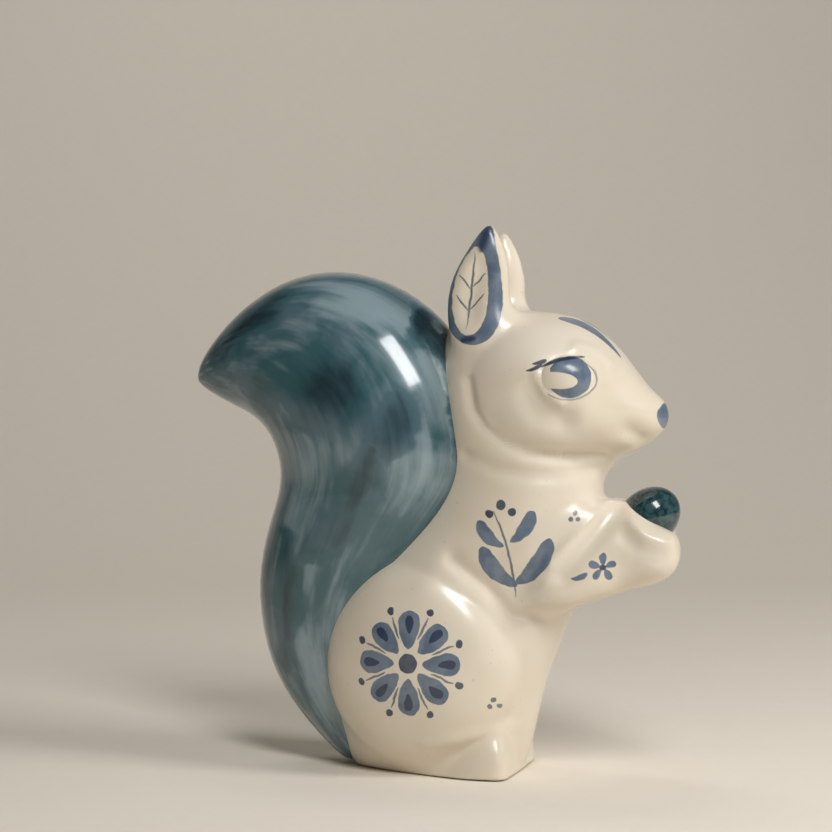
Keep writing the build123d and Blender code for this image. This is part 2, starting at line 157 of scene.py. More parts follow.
class ClayForm:
    """Rolls a clay form ring by ring, or presses it from a ball."""

    @staticmethod
    def roll(name: str, rings: Sequence[Ring], levels: int = 1) -> bpy.types.Object:
        """Extrudes one circle through all the rings and closes both ends.

        Args:
            name: name of the new object.
            rings: cross sections from one end to the other.
            levels: subdivision levels.

        Returns:
            The closed form, with its normals outwards.
        """
        Workbench.clear_selection()
        bpy.ops.mesh.primitive_circle_add(vertices=RING_SIDES, radius=MM, fill_type="NGON")
        form = bpy.context.object
        form.name = name
        form.data.name = name
        bpy.ops.object.mode_set(mode="EDIT")
        bpy.ops.mesh.select_mode(type="FACE")
        bpy.ops.mesh.select_all(action="SELECT")
        last = Ring(0, 0, 0, 1, 1)
        for index, ring in enumerate(rings):
            if index:
                bpy.ops.mesh.extrude_region_move()
            ClayForm._reshape(last, ring)
            last = ring
        bpy.ops.mesh.select_all(action="SELECT")
        bpy.ops.mesh.normals_make_consistent(inside=False)
        bpy.ops.object.mode_set(mode="OBJECT")
        ClayForm._close_start(form)
        if levels:
            Workbench.apply(form, "SUBSURF", levels=levels, render_levels=levels)
        return form

    @staticmethod
    def _reshape(last: Ring, ring: Ring) -> None:
        """Turns, resizes and moves the selected ring from one cross section to the next."""
        here = Vector((last.x, last.y, last.z)) * MM
        step = (Vector((ring.x, ring.y, ring.z)) - Vector((last.x, last.y, last.z))) * MM
        size = (ring.along / last.along, ring.across / last.across, 1.0)
        if last.turn:
            ClayForm._turn(-last.turn, here)
        bpy.ops.transform.resize(value=size, center_override=here)
        if ring.turn:
            ClayForm._turn(ring.turn, here)
        bpy.ops.transform.translate(value=step)

    @staticmethod
    def _turn(degrees: float, centre: Vector) -> None:
        """Turns the selection about Y so that +X goes towards +Z."""
        bpy.ops.transform.rotate(
            value=math.radians(degrees), orient_axis="Y", center_override=centre
        )

    @staticmethod
    def _close_start(form: bpy.types.Object) -> None:
        """Fills the open end that the first extrusion left."""
        Workbench.activate(form)
        bpy.ops.object.mode_set(mode="EDIT")
        bpy.ops.mesh.select_mode(type="EDGE")
        bpy.ops.mesh.select_all(action="DESELECT")
        bpy.ops.mesh.select_non_manifold()
        bpy.ops.mesh.edge_face_add()
        bpy.ops.mesh.select_all(action="SELECT")
        bpy.ops.mesh.normals_make_consistent(inside=False)
        bpy.ops.object.mode_set(mode="OBJECT")

    @staticmethod
    def ball(name: str, centre: Triple, half: Triple, tilt: float = 0.0) -> bpy.types.Object:
        """Presses an egg from a ball.

        Args:
            name: name of the new object.
            centre: centre of the egg.
            half: half sizes before the tilt.
            tilt: turn about Y, in degrees, +X towards +Z.

        Returns:
            The closed form.
        """
        Workbench.clear_selection()
        bpy.ops.mesh.primitive_uv_sphere_add(segments=BALL_SEGMENTS, ring_count=BALL_RINGS, radius=MM)
        form = bpy.context.object
        form.name = name
        bpy.ops.object.mode_set(mode="EDIT")
        bpy.ops.mesh.select_all(action="SELECT")
        bpy.ops.transform.resize(value=half, center_override=(0, 0, 0))
        if tilt:
            ClayForm._turn(tilt, Vector((0, 0, 0)))
        bpy.ops.transform.translate(value=Vector(centre) * MM)
        bpy.ops.object.mode_set(mode="OBJECT")
        return form


@dataclass(frozen=True)
class ToolStroke:
    """One stroke of the modelling tool along a path on the figurine's side.

    Attributes:
        path: points as x and z; a single point is a press of the thumb.
        lift: how far the clay rises, or sinks where it is negative.
        width: how far the stroke spreads to each side.
        inside: the stroke stays further than this from the middle plane.
        outside: the stroke stays nearer than this to the middle plane.
        fade: depth over which the stroke dies away at those two limits.
        facing: how soon the stroke has its full lift as the clay turns to the side.
    """

    path: tuple[Pair, ...]
    lift: float
    width: float
    inside: float = 4.0
    outside: float = 40.0
    fade: float = 2.0
    facing: float = 2.5

    def distance(self, points: np.ndarray) -> np.ndarray:
        """Distance of every point to the path, seen from the side."""
        flat = points[:, [0, 2]]
        path = np.array(self.path, float)
        best = np.linalg.norm(flat - path[0], axis=1)
        for start, end in zip(path[:-1], path[1:]):
            run = end - start
            share = np.clip(((flat - start) @ run) / (run @ run), 0.0, 1.0)
            best = np.minimum(best, np.linalg.norm(flat - start - share[:, None] * run, axis=1))
        return best

    def press(self, points: np.ndarray, normals: np.ndarray) -> np.ndarray:
        """Moves the points along their normals and returns them."""
        reach = np.abs(points[:, 1])
        facing = np.clip(normals[:, 1] * np.sign(points[:, 1]) * self.facing, 0.0, 1.0)
        near = np.clip((reach - self.inside) / self.fade, 0.0, 1.0)
        near *= np.clip((self.outside - reach) / self.fade, 0.0, 1.0)
        amount = self.lift * np.exp(-((self.distance(points) / self.width) ** 2)) * facing * near
        return points + normals * amount[:, None]


@dataclass
class ClayBody:
    """The cream-coloured clay: torso, haunches, feet, forelegs, head and ears."""

    voxel: float = 0.8
    fettle_rounds: int = 14
    finish_rounds: int = 6
    # gap that leaves the bare base plate standing on the table
    foot_gap: float = 0.45
    # pressed balls: centre and half sizes, on the left side where they are a pair
    muzzle: tuple[Triple, Triple] = ((61.5, 0.0, 108.4), (8.4, 8.6, 7.2))
    throat: tuple[Triple, Triple] = ((48.0, 0.0, 96.6), (7.4, 10.0, 6.4))
    haunch: tuple[Triple, Triple] = ((-2.5, 10.5, 33.5), (30.5, 18.5, 33.0))
    cheek: tuple[Triple, Triple] = ((35.0, 12.0, 114.6), (21.5, 12.2, 17.6))
    # height, rear, front, half width
    torso: tuple[tuple[float, float, float, float], ...] = (
        (-2.5, -26.0, 22.5, 12.0),
        (0.5, -28.6, 25.4, 15.0),
        (5.0, -30.5, 28.0, 17.2),
        (12.0, -33.0, 29.8, 19.4),
        (22.0, -36.0, 31.8, 20.8),
        (31.0, -37.0, 34.4, 21.6),
        (40.0, -36.5, 38.0, 21.6),
        (48.0, -35.0, 41.8, 21.6),
        (56.0, -31.0, 44.6, 21.4),
        (64.0, -22.0, 47.0, 21.0),
        (72.0, -11.0, 48.8, 20.6),
        (80.0, -4.0, 50.2, 19.9),
        (85.5, -1.6, 50.8, 19.6),
        (89.0, -0.6, 50.8, 19.2),
        (93.0, 0.0, 51.0, 19.2),
        (98.0, 0.2, 50.0, 19.8),
        (104.0, 0.2, 46.0, 20.4),
        (112.0, 0.0, 42.0, 20.6),
        (120.0, 0.4, 38.0, 20.2),
        (128.0, 1.4, 34.0, 18.6),
        (134.0, 2.6, 31.0, 16.0),
        (138.5, 5.0, 26.0, 12.0),
        (141.0, 9.0, 20.0, 6.0),
    )
    # x, middle height, half height, half width
    head: tuple[tuple[float, float, float, float], ...] = (
        (8.0, 117.0, 11.0, 11.0),
        (10.0, 117.0, 15.5, 15.5),
        (13.5, 117.4, 19.5, 19.4),
        (20.0, 118.0, 22.6, 22.6),
        (28.0, 117.8, 23.2, 24.2),
        (36.0, 117.0, 22.8, 24.6),
        (44.0, 116.0, 22.2, 23.2),
        (50.0, 114.6, 20.2, 20.4),
        (55.0, 112.6, 17.0, 17.2),
        (60.0, 110.4, 12.8, 13.4),
        (64.0, 108.9, 8.8, 10.0),
        (67.0, 108.8, 6.4, 7.4),
        (69.4, 108.9, 4.3, 4.8),
        (70.6, 109.0, 1.7, 1.9),
    )
    # x, distance to the side, middle height, half height, half width
    foreleg: tuple[tuple[float, float, float, float, float], ...] = (
        (26.0, 8.0, 57.0, 5.0, 4.0),
        (32.0, 9.6, 58.5, 9.0, 7.6),
        (39.0, 10.4, 61.5, 12.4, 9.0),
        (46.0, 9.8, 65.6, 15.0, 9.0),
        (53.0, 8.6, 69.4, 15.2, 8.6),
        (58.0, 7.6, 70.8, 14.2, 8.0),
        (63.0, 7.0, 69.2, 11.2, 7.6),
        (68.0, 7.2, 68.0, 9.0, 7.4),
        (72.4, 7.0, 68.2, 7.2, 6.4),
        (74.6, 6.9, 69.0, 5.2, 4.6),
        (75.6, 6.8, 69.4, 2.0, 1.8),
    )
    # height, rear, front, half width of the upper arm
    shoulder: tuple[tuple[float, float, float, float], ...] = (
        (52.0, 10.0, 26.0, 6.0),
        (58.0, 5.0, 36.5, 10.4),
        (64.0, 3.0, 43.0, 12.0),
        (70.0, 3.0, 47.6, 12.0),
        (75.0, 5.0, 50.6, 10.8),
        (79.0, 8.0, 52.4, 9.2),
        (82.5, 11.0, 52.6, 7.4),
        (85.5, 15.0, 49.0, 5.0),
    )
    shoulder_aside: float = 8.2
    # lean of the foreleg's top: amount, x where it ends, run over which it grows, height without lean
    foreleg_lean: float = 0.35
    lean_end: float = 66.0
    lean_run: float = 14.0
    lean_height: float = 64.0
    # the left paw is drawn in from here
    paw_start: float = 60.0
    left_paw_pull: float = 0.25
    # the left ear leans back and down from here
    ear_foot: float = 128.0
    left_ear_drop: float = 0.045
    # height, x, half length, half width
    ear: tuple[tuple[float, float, float, float], ...] = (
        (124.0, 17.5, 10.0, 7.6),
        (130.0, 17.0, 10.6, 7.2),
        (136.0, 16.6, 11.2, 6.4),
        (140.0, 15.9, 10.8, 5.8),
        (145.0, 15.2, 9.9, 5.2),
        (150.0, 15.6, 9.0, 4.7),
        (155.2, 16.7, 7.5, 4.1),
        (160.0, 17.6, 5.2, 3.3),
        (163.4, 18.0, 2.9, 2.3),
        (166.2, 18.3, 1.3, 1.2),
    )
    ear_aside: float = 11.5
    # x, distance to the side, middle height, half height, half width
    foot: tuple[tuple[float, float, float, float, float], ...] = (
        (-10.0, 7.0, 0.0, 4.0, 4.0),
        (-4.0, 8.2, 0.5, 8.0, 7.4),
        (4.0, 9.4, 1.0, 11.0, 9.4),
        (14.0, 10.2, 1.5, 13.2, 11.0),
        (20.0, 10.2, 2.0, 14.6, 11.0),
        (23.4, 10.2, 2.0, 14.0, 10.6),
        (25.0, 10.2, 2.0, 11.0, 9.6),
        (25.6, 10.2, 2.0, 6.0, 7.0),
    )
    # x, middle height, half height, half width of the clay between the feet
    sole: tuple[tuple[float, float, float, float], ...] = (
        (4.0, 0.0, 7.0, 12.0),
        (14.0, 0.5, 11.0, 14.0),
        (21.0, 1.0, 12.6, 14.6),
        (24.2, 1.0, 11.4, 14.0),
        (25.3, 1.0, 8.0, 12.0),
        (25.7, 1.0, 4.0, 9.0),
    )
    strokes: tuple[ToolStroke, ...] = (
        # jaw line and the fold of the neck
        ToolStroke(
            (
                (13.6, 119.0),
                (15.0, 111.0),
                (18.6, 105.4),
                (24.6, 101.0),
                (32.0, 98.2),
                (41.0, 97.0),
                (52.0, 97.2),
            ),
            -1.4,
            1.7,
        ),
        ToolStroke(
            (
                (12.4, 96.6),
                (14.4, 96.0),
                (23.0, 93.2),
                (30.0, 91.6),
                (38.9, 91.1),
                (44.6, 92.1),
                (50.6, 93.4),
            ),
            -0.9,
            2.2,
        ),
        # fold between the haunch and the upper arm
        ToolStroke(((9.5, 66.2), (19.9, 58.2), (24.6, 51.6), (27.0, 48.8), (32.5, 48.2)), -1.4, 2.3),
        ToolStroke(((4.5, 58.0), (12.6, 52.4), (18.4, 46.0), (21.5, 40.0)), 1.7, 7.5),
        # crest at the root of the foreleg, and the valley in front of it
        ToolStroke(((54.6, 84.0), (48.9, 77.1), (42.9, 70.1), (38.7, 65.9)), 1.3, 2.0),
        ToolStroke(((57.0, 80.5), (52.0, 74.5), (47.0, 68.0), (42.6, 62.6)), -0.9, 3.2),
        # fold of the paw
        ToolStroke(((62.0, 77.5), (66.0, 73.8), (73.0, 72.0)), 0.7, 1.8),
        ToolStroke(((60.0, 74.0), (65.0, 70.0), (71.0, 68.0)), -0.7, 2.6),
        # eye socket, brow and cheek
        ToolStroke(((34.6, 115.0), (37.5, 110.4), (43.0, 108.0)), -1.9, 4.4),
        ToolStroke(((46.0, 129.4), (51.0, 127.8), (54.6, 124.0), (55.6, 119.0)), 0.9, 1.8),
        ToolStroke(((35.6, 121.4), (38.0, 116.4), (42.6, 113.2)), 0.9, 1.3),
        # hollow beside the mouth, and the round of the muzzle above it
        ToolStroke(((61.0, 104.4), (63.2, 102.6)), -1.0, 2.8, inside=1.5),
        ToolStroke(((61.0, 111.8), (65.0, 110.0)), 0.8, 2.8, inside=1.5),
        # ridge of the hind foot
        ToolStroke(((2.0, 10.4), (12.0, 12.6), (24.0, 15.4)), 0.8, 2.2),
        ToolStroke(((6.0, 5.0), (20.0, 6.0)), -0.4, 3.5),
        # dish of the ear
        ToolStroke(((13.4, 140.0), (14.2, 146.0), (16.2, 153.0)), -1.8, 4.4, inside=11.0),
    )
    # places rubbed smooth: path, width and rounds
    rubs: tuple[tuple[tuple[Pair, ...], float, int], ...] = (
        (((32.0, 51.0), (38.0, 49.0), (45.0, 53.0)), 8.5, 240),
        (((8.0, 69.0), (14.5, 65.5), (20.5, 58.5), (26.0, 52.5), (33.0, 49.0)), 3.5, 40),
        (((21.0, 2.0), (23.0, 8.0), (24.0, 14.0)), 4.0, 40),
        (((50.0, 99.0), (54.0, 95.5), (49.0, 91.0)), 5.5, 160),
        (((31.0, 60.0), (36.0, 66.0), (42.0, 74.0), (48.0, 81.0)), 4.0, 60),
        (((20.0, 87.0), (34.0, 86.0), (46.0, 86.0)), 4.0, 60),
        (((-26.0, 8.0), (-15.0, 3.0), (-4.0, 3.0), (2.0, 6.0)), 7.0, 160),
        (((55.0, 82.0), (51.0, 76.0), (47.0, 70.0), (43.0, 63.0)), 4.5, 90),
        (((47.0, 132.0), (53.0, 127.0), (56.0, 118.0), (57.0, 110.0), (54.0, 102.0)), 5.0, 70),
        (((22.0, 141.0), (34.0, 140.0), (46.0, 137.0), (52.0, 133.0)), 4.5, 60),
        (((26.0, 142.0), (30.0, 140.0)), 5.0, 160),
    )

    def model(self) -> bpy.types.Object:
        """Joins all the clay forms, fettles the joints and works the folds in.

        Returns:
            One closed surface that stands on the table.
        """
        clay = self._join(self._forms())
        Workbench.apply(clay, "REMESH", mode="VOXEL", voxel_size=self.voxel * MM)
        Workbench.apply(clay, "SMOOTH", factor=0.5, iterations=self.fettle_rounds)
        for path, width, rounds in self.rubs:
            away = ToolStroke(path, 1.0, width).distance(Workbench.points(clay))
            Workbench.rub(clay, np.exp(-((away / width) ** 4)), rounds)
        for stroke in self.strokes:
            Workbench.set_points(clay, stroke.press(Workbench.points(clay), Workbench.normals(clay)))
        Workbench.apply(clay, "SMOOTH", factor=0.5, iterations=self.finish_rounds)
        self._level_base(clay)
        Workbench.activate(clay)
        bpy.ops.object.shade_smooth()
        LOG.info("clay: %d faces", len(clay.data.polygons))
        return clay

    def _forms(self) -> list[bpy.types.Object]:
        """Rolls and presses every clay form."""
        forms = [
            ClayForm.roll("torso", [Ring((b + f) / 2, 0, z, (f - b) / 2, w) for z, b, f, w in self.torso]),
            ClayForm.roll("head", [Ring(x, 0, z, h, w, UPRIGHT) for x, z, h, w in self.head]),
            ClayForm.ball("muzzle", *self.muzzle),
            ClayForm.ball("throat", *self.throat),
            ClayForm.roll("sole", [Ring(x, 0, z, h, w, UPRIGHT) for x, z, h, w in self.sole]),
        ]
        for side in Side:
            sign = side.value
            forms += [
                self._foreleg(side),
                ClayForm.roll("foot", [Ring(x, sign * y, z, h, w, UPRIGHT) for x, y, z, h, w in self.foot]),
                ClayForm.roll("ear", self._ear_rings(side)),
                ClayForm.roll("shoulder", self._shoulder_rings(side)),
                self._pressed("haunch", self.haunch, side),
                self._pressed("cheek", self.cheek, side),
            ]
        return forms

    @staticmethod
    def _pressed(name: str, ball: tuple[Triple, Triple], side: Side) -> bpy.types.Object:
        """Presses the ball of one side."""
        (x, y, z), half = ball
        return ClayForm.ball(name, (x, side.value * y, z), half)

    def _shoulder_rings(self, side: Side) -> list[Ring]:
        """Cross sections of one upper arm."""
        aside = side.value * self.shoulder_aside
        return [Ring((b + f) / 2, aside, z, (f - b) / 2, w) for z, b, f, w in self.shoulder]

    def _foreleg(self, side: Side) -> bpy.types.Object:
        """Rolls one foreleg with its elbow out and its top leaning in; the left paw is a little shorter."""
        pull = self.left_paw_pull if side is Side.LEFT else 0.0
        rings = []
        for x, y, z, along, across in self.foreleg:
            shorter = pull * max(0.0, x - self.paw_start)
            rings.append(Ring(x - shorter, side.value * y, z, along, across, UPRIGHT))
        form = ClayForm.roll("foreleg", rings)
        points = Workbench.points(form)
        lean = self.foreleg_lean * np.clip((self.lean_end - points[:, 0]) / self.lean_run, 0.0, 1.0)
        points[:, 1] -= side.value * lean * (points[:, 2] - self.lean_height)
        Workbench.set_points(form, points)
        return form

    def _ear_rings(self, side: Side) -> list[Ring]:
        """Cross sections of one ear; the left tip is a little lower and further back."""
        drop = self.left_ear_drop if side is Side.LEFT else 0.0
        rings = []
        for z, x, along, across in self.ear:
            rise = max(0.0, z - self.ear_foot)
            rings.append(Ring(x - drop * rise, side.value * self.ear_aside, z - drop * rise, along, across))
        return rings

    @staticmethod
    def _join(forms: Sequence[bpy.types.Object]) -> bpy.types.Object:
        """Joins several forms into one object."""
        Workbench.clear_selection()
        for form in forms:
            form.select_set(True)
        bpy.context.view_layer.objects.active = forms[0]
        bpy.ops.object.join()
        return forms[0]

    def _level_base(self, clay: bpy.types.Object) -> None:
        """Cuts the clay level, just clear of the table, so that the bare base plate stands on it."""
        level = (0, 0, self.foot_gap * MM)
        Workbench.activate(clay)
        bpy.ops.object.mode_set(mode="EDIT")
        bpy.ops.mesh.select_all(action="SELECT")
        bpy.ops.mesh.bisect(plane_co=level, plane_no=(0, 0, 1), use_fill=True, clear_inner=True)
        bpy.ops.object.mode_set(mode="OBJECT")


class Skin:
    """The modelled surface before it is cut, so that the glaze runs over the seams unbroken."""

    # a face further than this under the modelled surface belongs to a cut
    CUT_DEPTH = 0.02

    def __init__(self, clay: bpy.types.Object) -> None:
        """Keeps the faces and the normals of the whole clay body."""
        self.points = [vertex.co.copy() for vertex in clay.data.vertices]
        self.faces = [tuple(face.vertices) for face in clay.data.polygons]
        self.normals = [Vector(normal) for normal in Workbench.normals(clay)]
        self.tree = BVHTree.FromPolygons(self.points, self.faces)

    def normal(self, point: Vector) -> Vector:
        """The normal of the whole surface at a point on it."""
        face = self.faces[self.tree.find_nearest(point)[2]]
        shares = poly_3d_calc([self.points[index] for index in face], point)
        blend = Vector((0, 0, 0))
        for index, share in zip(face, shares):
            blend += self.normals[index] * share
        return blend.normalized()

    def wear(self, piece: bpy.types.Object) -> None:
        """Gives the edges of a cut piece the normals of the whole surface, and makes the cut faces flat."""
        mesh = piece.data
        cuts = [self.tree.find_nearest(face.center)[3] > self.CUT_DEPTH * MM for face in mesh.polygons]
        mesh.polygons.foreach_set("use_smooth", [not cut for cut in cuts])
        rim = {index for face, cut in zip(mesh.polygons, cuts) if cut for index in face.vertices}
        kept = {index: self.normal(mesh.vertices[index].co) for index in rim}
        loose = Vector((0, 0, 0))
        normals = [loose] * len(mesh.loops)
        for face, cut in zip(mesh.polygons, cuts):
            if not cut:
                for loop in face.loop_indices:
                    normals[loop] = kept.get(mesh.loops[loop].vertex_index, loose)
        mesh.normals_split_custom_set(normals)


@dataclass(frozen=True)
class Block:
    """A block that takes one piece out of the clay.

    Attributes:
        low, high: corners of the block.
        slopes: planes that trim the block, each as a point and the direction that is trimmed away.
    """

    low: Triple
    high: Triple
    slopes: tuple[tuple[Triple, Triple], ...] = ()

    def model(self) -> bpy.types.Object:
        """Makes the block from a cube."""
        Workbench.clear_selection()
        bpy.ops.mesh.primitive_cube_add(size=MM)
        block = bpy.context.object
        low, high = Vector(self.low), Vector(self.high)
        bpy.ops.object.mode_set(mode="EDIT")
        bpy.ops.mesh.select_all(action="SELECT")
        bpy.ops.transform.resize(value=high - low, center_override=(0, 0, 0))
        bpy.ops.transform.translate(value=(low + high) / 2 * MM)
        for place, away in self.slopes:
            bpy.ops.mesh.select_all(action="SELECT")
            bpy.ops.mesh.bisect(plane_co=Vector(place) * MM, plane_no=away, use_fill=True, clear_outer=True)
        bpy.ops.object.mode_set(mode="OBJECT")
        return block

    def take(self, clay: bpy.types.Object, name: str) -> bpy.types.Object:
        """Cuts the clay inside the block off as a piece of its own.

        Args:
            clay: closed form, which keeps what lies outside the block.
            name: name of the new piece.

        Returns:
            The piece inside the block.
        """
        block = self.model()
        Workbench.activate(clay)
        bpy.ops.object.duplicate()
        piece = bpy.context.object
        piece.name = piece.data.name = name
        Workbench.apply(piece, "BOOLEAN", object=block, operation="INTERSECT", solver="MANIFOLD")
        Workbench.apply(clay, "BOOLEAN", object=block, operation="DIFFERENCE", solver="MANIFOLD")
        bpy.data.objects.remove(block)
        return piece


@dataclass
class Seams:
    """The joints along which the modelled clay comes apart."""

    reach: float = 100.0
    # how far the blocks of feet and haunches reach below the table
    overrun: float = 1.0
    neck: Pair = (92.0, 92.6)
    foreleg_root: Triple = (40.0, 0.0, 46.7)
    foreleg_slope: float = 0.25
    foreleg_margin: float = 10.0
    foot_rear: float = 2.0
    foot_side: float = 6.5
    foot_top: float = 14.5
    haunch_side: float = 17.0
    haunch_front: float = 29.5
    haunch_top: Triple = (10.6, 0.0, 64.6)
    haunch_slope: float = 0.7
    ear_root: Triple = (0.0, 4.5, 142.3)
    ear_slope: float = 0.64

    def cut(self, clay: bpy.types.Object) -> dict[str, bpy.types.Object]:
        """Cuts the clay into one piece for each part.

        Args:
            clay: the whole clay body; what is left of it is the torso.

        Returns:
            The pieces by the names of the parts that they show.
        """
        far = self.reach
        low, high = self.neck
        pieces = {"torso_shell": clay}
        head = pieces["head_shell"] = Block((-far, -far, high), (far, far, 2 * far)).take(clay, "head")
        pieces["neck_slip_ring"] = Block((-far, -far, low), (far, far, 2 * far)).take(clay, "neck_joint")
        for side in Side:
            for part, body, block in (
                ("foreleg", clay, self._foreleg()),
                ("hind_foot", clay, self._foot()),
                ("haunch", clay, self._haunch()),
                ("ear", head, self._ear()),
            ):
                name = f"{side.label}_{part}"
                pieces[name] = self._sided(block, side).take(body, f"{part}_{side.label}")
        return pieces

    def _foreleg(self) -> Block:
        """Block round the left foreleg."""
        x, _, z = self.foreleg_root
        low = (x - self.foreleg_margin, 0.0, z - self.foreleg_margin)
        slope = (self.foreleg_root, (-1.0, 0.0, self.foreleg_slope))
        return Block(low, (self.reach, self.reach, self.neck[0]), (slope,))

    def _foot(self) -> Block:
        """Block round the left hind foot."""
        low = (self.foot_rear, self.foot_side, -self.overrun)
        return Block(low, (self.reach, self.reach, self.foot_top))

    def _haunch(self) -> Block:
        """Block round the left haunch."""
        slope = (self.haunch_top, (self.haunch_slope, 0.0, 1.0))
        low = (-self.reach, self.haunch_side, -self.overrun)
        return Block(low, (self.haunch_front, self.reach, self.reach), (slope,))

    def _ear(self) -> Block:
        """Block round the left ear."""
        slope = (self.ear_root, (0.0, -self.ear_slope, -1.0))
        return Block((-self.reach, 0.0, self.neck[1]), (self.reach, self.reach, 2 * self.reach), (slope,))

    @staticmethod
    def _sided(block: Block, side: Side) -> Block:
        """The block itself for the left side, and its mirror image for the right side."""
        if side is Side.LEFT:
            return block
        (lx, ly, lz), (hx, hy, hz) = block.low, block.high
        slopes = tuple(((px, -py, pz), (ax, -ay, az)) for (px, py, pz), (ax, ay, az) in block.slopes)
        return Block((lx, -hy, lz), (hx, -ly, hz), slopes)


@dataclass
class Base:
    """The oval slab that closes the foot of the torso, with a pinhole for kiln gas."""

    centre: float = -1.7
    half_length: float = 22.8
    half_width: float = 11.2
    height: float = 4.8
    clearance: float = 0.2
    edge: float = 0.5
    pinhole: float = 1.7
    # how far the cutters reach below the table
    overrun: float = 1.0
    # edges sharper than this angle stay sharp
    sharp: float = 40.0

    def model(self, torso: bpy.types.Object) -> bpy.types.Object:
        """Cuts the slab's seat into the torso and makes the slab.

        Args:
            torso: the piece of clay that stands on the table.

        Returns:
            The slab.
        """
        gap = self.clearance
        seat = self._disc("seat", self.half_length + gap, self.half_width + gap, self.height)
        Workbench.apply(torso, "BOOLEAN", object=seat, operation="DIFFERENCE", solver="MANIFOLD")
        slab = self._disc("base", self.half_length, self.half_width, self.height - gap)
        Workbench.apply(slab, "BEVEL", width=self.edge * MM, segments=2, limit_method="ANGLE")
        bore = self._disc("bore", self.pinhole, self.pinhole, 2 * self.height)
        Workbench.apply(slab, "BOOLEAN", object=bore, operation="DIFFERENCE", solver="MANIFOLD")
        for tool in (seat, bore):
            bpy.data.objects.remove(tool)
        Workbench.activate(slab)
        bpy.ops.object.shade_smooth_by_angle(angle=math.radians(self.sharp))
        return slab

    def _disc(self, name: str, half_length: float, half_width: float, top: float) -> bpy.types.Object:
        """Makes an upright oval disc; the cutters start below the table."""
        low = 0.0 if name == "base" else -self.overrun
        Workbench.clear_selection()
        bpy.ops.mesh.primitive_cylinder_add(vertices=DISC_SIDES, radius=MM, depth=MM)
        disc = bpy.context.object
        disc.name = disc.data.name = name
        bpy.ops.object.mode_set(mode="EDIT")
        bpy.ops.mesh.select_all(action="SELECT")
        bpy.ops.transform.resize(value=(half_length, half_width, top - low), center_override=(0, 0, 0))
        bpy.ops.transform.translate(value=Vector((self.centre, 0.0, (top + low) / 2)) * MM)
        bpy.ops.object.mode_set(mode="OBJECT")
        return disc


@dataclass
class Tail:
    """The upright tail, fitted to the back of the clay body."""

    layout: str = "unrolled"
    levels: int = 2
    # edges sharper than this angle stay sharp
    sharp: float = 45.0
    # back x and z, front x and z, half thickness
    stations: tuple[tuple[float, float, float, float, float], ...] = (
        (-29.5, 0.4, -19.0, 1.0, 4.0),
        (-33.6, 3.0, -18.5, 4.6, 6.6),
        (-39.2, 8.8, -18.0, 12.0, 9.4),
        (-45.8, 15.8, -15.0, 21.0, 12.4),
        (-55.2, 29.2, -14.0, 38.0, 16.8),
        (-59.4, 52.4, -8.0, 57.5, 20.4),
        (-56.5, 69.6, 4.5, 74.0, 23.0),
        (-51.7, 83.0, 15.0, 87.0, 24.0),
        (-50.8, 90.9, 17.0, 98.5, 25.2),
        (-53.0, 99.6, 14.6, 113.8, 25.8),
        (-57.6, 105.5, 7.0, 130.4, 25.2),
        (-62.5, 108.4, -6.2, 144.7, 22.4),
        (-66.7, 110.2, -26.1, 153.2, 19.8),
        (-70.8, 112.2, -46.2, 151.9, 16.1),
        (-74.8, 114.3, -62.6, 142.6, 11.0),
        (-78.3, 116.6, -74.3, 130.3, 5.8),
        (-79.6, 118.2, -78.4, 123.4, 2.4),
    )

    def rings(self) -> list[Ring]:
        """The cross sections from the root to the tip."""
        rings = []
        for bx, bz, fx, fz, half in self.stations:
            along = math.hypot(fx - bx, fz - bz) / 2
            turn = math.degrees(math.atan2(fz - bz, fx - bx))
            rings.append(Ring((bx + fx) / 2, 0.0, (bz + fz) / 2, along, half, turn))
        return rings

    def model(self, clay: bpy.types.Object) -> bpy.types.Object:
        """Rolls the tail and cuts its front to fit the clay body.

        Args:
            clay: the whole clay body.

        Returns:
            The fitted tail.
        """
        tail = ClayForm.roll("tail", self.rings(), levels=0)
        self._unroll(tail)
        Workbench.apply(tail, "SUBSURF", levels=self.levels, render_levels=self.levels)
        Workbench.apply(tail, "BOOLEAN", object=clay, operation="DIFFERENCE", solver="MANIFOLD")
        Workbench.activate(tail)
        bpy.ops.object.shade_smooth_by_angle(angle=math.radians(self.sharp))
        return tail

    def _unroll(self, tail: bpy.types.Object) -> None:
        """Lays the tail out straight in its UV map: run along it in decimetres, share from back to front."""
        middle = np.array([((b + f) / 2, (c + g) / 2) for b, c, f, g, _ in self.stations])
        runs = np.concatenate(((0.0,), np.cumsum(np.linalg.norm(np.diff(middle, axis=0), axis=1))))
        layer = tail.data.uv_layers.new(name=self.layout)
        points = Workbench.points(tail)
        for loop in tail.data.loops:
            ring = loop.vertex_index // RING_SIDES
            bx, bz, fx, fz, _ = self.stations[ring]
            x, _, z = points[loop.vertex_index]
            share = ((x - bx) * (fx - bx) + (z - bz) * (fz - bz)) / ((fx - bx) ** 2 + (fz - bz) ** 2)
            layer.data[loop.index].uv = (runs[ring] / DECIMETRE, share)


@dataclass
class Nut:
    """The round nut between the paws."""

    centre: Triple = (64.4, 0.0, 78.2)
    radius: float = 8.4
    half_length: float = 10.6
    lean: float = 48.0

    def model(self) -> bpy.types.Object:
        """Presses the nut."""
        nut = ClayForm.ball("nut", self.centre, (self.radius, self.radius, self.half_length), -self.lean)
        Workbench.activate(nut)
        bpy.ops.object.shade_smooth()
        return nut


